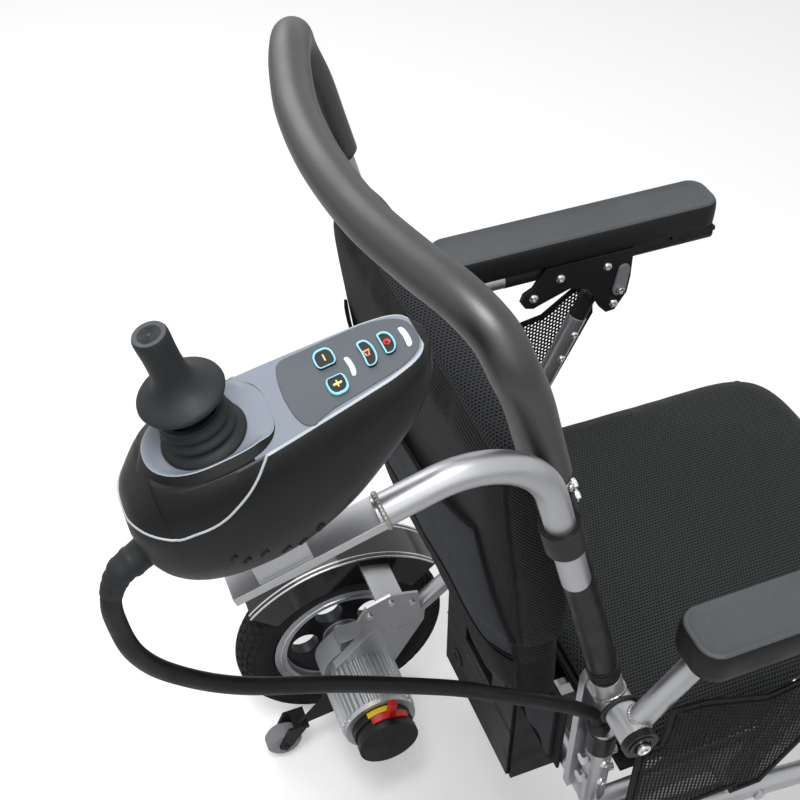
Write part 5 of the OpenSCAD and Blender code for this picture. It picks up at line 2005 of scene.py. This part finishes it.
@dataclass(frozen=True)
class BackHinge(Assembly):
    """Welds, rubber ring, cap bolt, upright sleeve and clevis bolts at one back hinge."""

    side: Side
    post_x: float = 214.0
    arm_x: float = 250.0
    arm_slope: float = 52.0
    ring_x: float = 231.3
    cap_x: float = 269.0
    barrel: float = 0.0150
    clevis_z: Pair = (485.0, 515.0)
    sleeve_z: float = 528.0

    def _on_axle(self, x: float) -> Vector:
        """A point of the hinge's axle, at a distance from the chair's middle."""
        return self.at(self.side.value * x, 0, POST.hinge_z)

    def build(self) -> None:
        """Makes the hinge's small pieces."""
        s, word = self.side.value, self.side.word
        out = Vector((s, 0, 0))
        post = saddle(self._on_axle(self.post_x), POST.along(), 0.0137, self.barrel)
        Shape().weld(post, 0.0017).piece(f"{word}_post_weld", [BOOK.bead], "backrest", "hinge_cast")
        slope = math.radians(self.arm_slope)
        rise = Vector((0, -math.cos(slope), math.sin(slope)))
        arm = saddle(self._on_axle(self.arm_x), rise, 0.0112, self.barrel)
        Shape().weld(arm, 0.0018).piece(f"{word}_arm_weld", [BOOK.bead], f"{word}_armrest", "frame_silver")
        ring = Shape().tube(circle(self._on_axle(self.ring_x), out, 0.0164, 56), 0.0019, 12, loop=True)
        ring.piece(f"{word}_hinge_ring", [BOOK.rubber], "seat_frame", "black_plastic")
        cap = Shape().bolt(self._on_axle(self.cap_x + 0.2), out, 0.0062, BoltKind.SOCKET)
        cap.lathe(self._on_axle(self.cap_x), out, [
            (0.0086, 0), (0.0118, 0), (0.0122, 0.0009), (0.0118, 0.0015), (0.0086, 0.0015)], 40, 1,
            loop=True)
        cap.piece(f"{word}_hinge_bolt", [BOOK.steel, BOOK.cap], "seat_frame", "bright_steel")
        clevis = Shape()
        for z in self.clevis_z:
            clevis.bolt(self.at(s * self.post_x, -12.4, z), AHEAD, 0.0056, BoltKind.SOCKET)
            clevis.bolt(self.at(s * (self.post_x + 12.4), 0, z), out, 0.0050, BoltKind.BUTTON)
        collar = Shape().lathe(self.at(s * self.post_x, 0, self.sleeve_z), UP, [
            (0.0126, 0), (0.0136, 0.0004), (0.0138, 0.014), (0.0136, 0.0276), (0.0126, 0.028)],
            40, loop=True)
        collar.piece(f"{word}_upright_sleeve", [BOOK.sleeve], "seat_frame", "sleeve_black")
        clevis.piece(f"{word}_clevis_bolts", [BOOK.steel], "seat_frame", "bright_steel")


@dataclass(frozen=True)
class Armrest(Assembly):
    """Moulded pad and the fasteners of one armrest."""

    side: Side
    pad_x: float = 262.0
    pad_half: float = 29.0
    pad_length: float = 339.0
    pad_gap: float = 27.0
    pad_low: float = 708.0
    pad_thick: float = 33.0
    pad_bend: float = 21.0
    latch: Pair = (-244.0, 655.0)
    tube: Pair = (250.0, 696.7)
    corner: int = 24
    plate_x: float = 233.9
    bolts: tuple[Pair, ...] = ((-137, 671), (-168, 690), (-226, 690), (-240, 634))

    def build(self) -> None:
        """Makes the pad, bolts and strut rivets."""
        s, word = self.side.value, self.side.word
        h = self.pad_thick
        levels = ((0, 4.2, 0), (1, 2, 0), (3, 0.5, 0), (10, 0.1, 0), (h * 0.6, 0, 0), (h - 6, 0.6, 0),
                  (h - 3.5, 1.5, 0), (h - 1.8, 2.5, 1), (h - 0.8, 3.5, 1), (h - 0.2, 4.6, 1), (h, 5.8, 1),
                  (h - 0.5, 7.0, 1), (h - 1.4, 8.2, 1), (h - 1.7, 9.2, 1), (h - 1.9, 13, 1), (h - 2, 19, 1),
                  (h - 2, 25, 1))
        rings = []
        for up, inset, _ in levels:
            wide, long = self.pad_half - inset, self.pad_length / 2 - inset
            bend = max(self.pad_bend - inset, 3.0)
            ring = []
            for j in range(4 * self.corner):
                quarter, step = divmod(j, self.corner)
                a = math.pi / 2 * (step / (self.corner - 1) + quarter)
                x = math.copysign(wide - bend, (1, -1, -1, 1)[quarter]) + bend * math.cos(a)
                y = math.copysign(long - bend, (1, 1, -1, -1)[quarter]) + bend * math.sin(a)
                ring.append(self.at(s * (self.pad_x + x), y - self.pad_gap - self.pad_length / 2,
                                    self.pad_low + up))
            rings.append(ring)
        shape = Shape().skin(rings)
        # The top and its rounded upper edge take the paler copy of the skin: painted light on the upward
        # faces.
        shape.marks[:-2] = [mark for _, _, mark in levels[:-1] for _ in rings[0]]
        shape.marks[-1] = 1
        made = shape.piece(f"{word}_arm_cushion", [BOOK.pad, BOOK.pad_top], f"{word}_armrest", "pad_skin", 50)
        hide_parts(f"{word}_arm_pad")
        run = [self.at(s * self.tube[0], y, self.tube[1]) for y in np.linspace(-104, -362, 24)]
        channel = Shape().tube(run, 0.01135, 28)
        channel.piece(f"{word}_arm_channel", [BOOK.plastic], f"{word}_armrest", "bracket_black")
        bolts = Shape()
        inward = Vector((-s, 0, 0))
        for y, z in self.bolts:
            bolts.bolt(self.at(s * self.plate_x, y, z), inward, 0.0056, BoltKind.BUTTON)
        for share in (0.12, 0.32):
            y, z = -205 + 66 * share, 614 - 161.7 * share
            bolts.bolt(self.at(s * 239.2, y, z), inward, 0.0048, BoltKind.BUTTON)
        bolts.piece(f"{word}_armrest_bolts", [BOOK.steel], f"{word}_armrest", "bright_steel")
        pivot = Shape().bolt(self.at(s * 230.6, *self.latch), inward, 0.0048, BoltKind.SOCKET)
        pivot.piece(f"{word}_latch_bolt", [BOOK.steel], f"{word}_latch", "bright_steel")


# Drive and running gear


@dataclass(frozen=True)
class DriveWheel(Assembly):
    """Block-tread tyre, rim ring and hub bolts of one drive wheel."""

    side: Side
    x: float = 264.0
    axle: Pair = (98.0, 145.0)
    ring: float = 117.0
    section: float = 28.0
    blocks: int = 54
    block_height: float = 2.2
    lip: float = 0.0885
    lip_x: float = 20.4
    hub_x: float = 14.0
    bolt_ring: float = 0.0175

    def _on_tyre(self, turn: float, roll: float, reach: float) -> Vector:
        """A point of the tyre.

        Args:
            turn: angle round the axle.
            roll: angle round the tyre's section.
            reach: distance from the section's middle.

        Returns:
            The point in metres.
        """
        away = self.ring + reach * math.cos(roll)
        return self.at(self.side.value * self.x + reach * math.sin(roll),
                       self.axle[0] + away * math.cos(turn), self.axle[1] + away * math.sin(turn))

    def build(self) -> None:
        """Makes the tyre and the wheel's trim."""
        s, word = self.side.value, self.side.word
        body = f"{word}_wheel"
        carcass = self.section - self.block_height
        shape = Shape()
        rings = [[self._on_tyre(turn, roll, carcass) for roll in turns(28)] for turn in turns(120)]
        shape.skin(rings, loop=True)
        step = math.tau / self.blocks
        for i in range(self.blocks):
            for column in range(-3, 4):
                mid = (i + (0.5 if column % 2 else 0.0)) * step
                roll, wide = column * 0.335, 0.145
                long = step * (0.36 if abs(column) < 3 else 0.30)
                low = [self._on_tyre(mid + a * long, roll + b * wide, carcass - 0.4)
                       for a, b in SQUARE]
                high = [self._on_tyre(mid + a * long * 0.86, roll + b * wide * 0.86, self.section - 0.05)
                        for a, b in SQUARE]
                shape.skin([low, high])
        made = shape.piece(f"{word}_tread_tyre", [BOOK.tyre], body, "drive_tyre", 40)
        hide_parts(f"{word}_tyre")
        trim = Shape()
        for face in (1, -1):
            centre = self.at(s * self.x + face * self.lip_x, *self.axle)
            trim.tube(circle(centre, ACROSS, self.lip, 72), 0.0012, 8, loop=True)
        outer, out = self.at(s * (self.x + self.hub_x), *self.axle), Vector((s, 0, 0))
        for i in range(5):
            a = math.tau * (i + 0.5) / 5
            away = Vector((0, self.bolt_ring * math.cos(a), self.bolt_ring * math.sin(a)))
            trim.bolt(outer + away, out, 0.0036, BoltKind.BUTTON)
        trim.bolt(outer, out, 0.0085, BoltKind.HEX)
        trim.piece(f"{word}_wheel_trim", [BOOK.steel], body, "rim_silver")


@dataclass(frozen=True)
class DriveUnit(Assembly):
    """Motor screws, bare label and bright fender lines of one side; the fender lines are painted reflections.
    """

    side: Side
    axle: Pair = (98.0, 145.0)
    screws_x: float = 109.6
    screw_ring: float = 0.0469
    fender_r: float = 171.0
    fender_x: float = 264.0
    fender_half: float = 31.0

    def build(self) -> None:
        """Makes the screws, the label and the fender's painted reflection lines on the rear frame."""
        s, word = self.side.value, self.side.word
        screws, seat = Shape(), self.at(s * self.screws_x, *self.axle)
        for i in range(6):
            a = math.radians(30 + 60 * i)
            away = Vector((0, math.cos(a), math.sin(a)))
            screws.bolt(seat + away * self.screw_ring, away, 0.0027, BoltKind.BUTTON)
        screws.piece(f"{word}_motor_screws", [BOOK.steel], "rear_frame", "bright_steel")
        arc = np.radians(np.linspace(-15, 30, 22))
        rows = [[self.at(s * x, *self.axle) + reach * Vector((0, math.sin(a), math.cos(a))) for a in arc]
                for x, reach in ((96.8, 0.0390), (97.0, 0.0394), (104.2, 0.0394), (104.4, 0.0390))]
        label = Shape().skin(rows, open_ring=True)
        label.piece(f"{word}_motor_label", [BOOK.label], "rear_frame", "black_plastic")
        # Bright steel lines along the fender's edges and across it: painted reflections of the glossy fender.
        trim = Shape()
        for offset in (-24.0, 24.0, -self.fender_half + 0.6, self.fender_half - 0.6):
            arc = [self.at(s * (self.fender_x + offset), self.axle[0] + self.fender_r * math.sin(a),
                           self.axle[1] + self.fender_r * math.cos(a))
                   for a in np.radians(np.linspace(-45.5, 46.5, 60))]
            trim.tube(arc, 0.0013, 8, flat=0.8)
        trim.piece(f"{word}_fender_trim", [BOOK.steel], "rear_frame", "bright_steel")


@dataclass(frozen=True)
class Caster(Assembly):
    """Hub cap and axle nuts of one caster."""

    side: Side
    x: float = 212.0
    axle: Pair = (-372.0, 89.0)
    hub_face: float = 0.0159
    bolt_ring: float = 0.0235
    nut_face: float = 0.0289

    def build(self) -> None:
        """Makes the rings on the wheel and the nuts on the fork."""
        s, word = self.side.value, self.side.word
        centre = self.at(s * self.x, *self.axle)
        caps, nuts = Shape(), Shape()
        for face in (1, -1):
            out = ACROSS * face
            caps.lathe(centre + out * self.hub_face, out, [
                (0.0095, 0), (0.030, 0), (0.0305, 0.0008), (0.0290, 0.0016), (0.018, 0.0018),
                (0.0165, 0.0030), (0.0105, 0.0032), (0.0095, 0.002)], 56, loop=True)
            for a in turns(5):
                away = Vector((0, self.bolt_ring * math.cos(a), self.bolt_ring * math.sin(a)))
                caps.bolt(centre + out * 0.0176 + away, out, 0.0026, BoltKind.SOCKET)
            nuts.bolt(centre + out * self.nut_face, out, 0.0082, BoltKind.HEX)
        caps.piece(f"{word}_caster_hub", [BOOK.casting], f"{word}_caster_wheel", "rim_silver")
        nuts.piece(f"{word}_caster_nuts", [BOOK.steel], f"{word}_caster", "bright_steel")


@dataclass(frozen=True)
class Footrest(Assembly):
    """Grip ribs on the footplate."""

    half: float = 118.0
    front: float = -660.0
    rear: float = -580.0
    top: float = 112.0

    def build(self) -> None:
        """Makes the raised ribs."""
        ribs = Shape()
        for y in np.linspace(self.front, self.rear, 8):
            ends = [self.at(x, y, self.top + 0.2) for x in (-self.half, self.half)]
            ribs.tube(ends, 0.0016, 10, flat=0.9)
        ribs.piece("footplate_ribs", [BOOK.rubber], "footplate", "foot_black")


@dataclass(frozen=True)
class BatteryDetails(Assembly):
    """Lid line, handle and charge socket of the battery."""

    half: float = 85.0
    rear: float = 20.0
    front: float = -110.0
    top: float = 425.0
    low: float = 280.0
    lid: float = 60.0
    handle: tuple[Triple, ...] = ((-35, 6, 24), (-20, 3, 23), (20, 3, 23), (35, 6, 24))

    def build(self) -> None:
        """Makes the lid seam and the handle bar in its recess."""
        half, front, rear, z = self.half, self.front, self.rear, self.top - self.lid
        loop = [(half, front, z), (half, rear, z), (-half, rear, z), (-half, front, z)]
        seam = Shape().tube(self.line(loop), 0.0012, 8, loop=True)
        grip = [(x, rear - deep, self.top - down) for x, deep, down in self.handle]
        seam.tube(self.line(grip), 0.0042, 16)
        seam.lathe(self.at(52, self.rear - 0.2, self.low + 40), BEHIND, [
            (0.004, 0), (0.011, 0), (0.0115, 0.0016), (0.0105, 0.0026), (0.0075, 0.0026),
            (0.0070, 0.0008), (0.004, 0.0008)], 36, loop=True)
        seam.piece("battery_trim", [BOOK.rubber], "battery", "battery_case")


NODE_FINISHES: dict[str, Finish] = {
    **dict.fromkeys(("seat_frame", "back_tube", "front_frame", "rear_frame", "control_arm", "left_arm_tubes",
                     "right_arm_tubes"), BOOK.frame),
    **dict.fromkeys(("hinge_axles", "frame_bolts", "joystick_gimbal", "rear_rivets"), BOOK.steel),
    **dict.fromkeys(("hinge_barrels", "gearboxes", "left_caster_fork", "right_caster_fork"), BOOK.casting),
    **dict.fromkeys(("hinge_caps", "motor_caps", "joystick_base", "arm_clip"), BOOK.cap),
    **dict.fromkeys(("battery_tray", "battery_pack", "footplate", "left_arm_bracket", "right_arm_bracket",
                     "anti_tip_brackets"), BOOK.plastic),
    **dict.fromkeys(("left_arm_latch", "right_arm_latch"), BOOK.latch),
    **dict.fromkeys(("left_release_lever", "right_release_lever"), BOOK.red),
    "motors": BOOK.alloy,
    **dict.fromkeys(("left_anti_tip_wheel", "right_anti_tip_wheel"), BOOK.tip),
    **dict.fromkeys(("left_caster_wheel", "right_caster_wheel"), BOOK.tyre),
    "post_sleeves": BOOK.sleeve,
    "fenders": BOOK.fender,
    "seat_board": BOOK.board,
}


def dress_nodes(nodes: dict[str, Piece], wheel: DriveWheel) -> None:
    """Gives each solid of the frame its finish.

    Args:
        nodes: the frame's solids by name.
        wheel: a drive wheel, for the place of its axle.
    """
    axle = wheel.at(0, *wheel.axle)
    rim = WheelFinish("two_tone_rim", BOOK.alloy.colour, 0.36, 0.9, 900.0, 0.00004, 0.14, (225, 226, 228),
                      0.3, 0.12, centre=(axle.y, axle.z))
    for name, finish in {**NODE_FINISHES, "left_rim": rim, "right_rim": rim}.items():
        mesh = nodes[name].data
        mesh.materials.clear()
        mesh.materials.append(finish.material())
        LOG.info("node %s: %s", name, finish.name)


def main() -> None:
    """Builds the studio and the chair's assemblies in order."""
    logging.basicConfig(level=logging.INFO, format="%(name)s %(message)s")
    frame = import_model()
    low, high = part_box("hinge_axles")
    shift = (low[1] + high[1]) / 2
    for assembly in (Studio, ControlCable, PushHoop, BackCover, SeatCushion, RearSkirt, SideGuards,
                     Controller, ControlArm):
        assembly(shift).build()
    for side in Side:
        for assembly in (BackHinge, Armrest, DriveWheel, DriveUnit, Caster):
            assembly(shift, side).build()
    for assembly in (Footrest, BatteryDetails):
        assembly(shift).build()
    dress_nodes(frame["nodes"], DriveWheel(shift, Side.LEFT))
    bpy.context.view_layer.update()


if __name__ == "__main__":
    main()
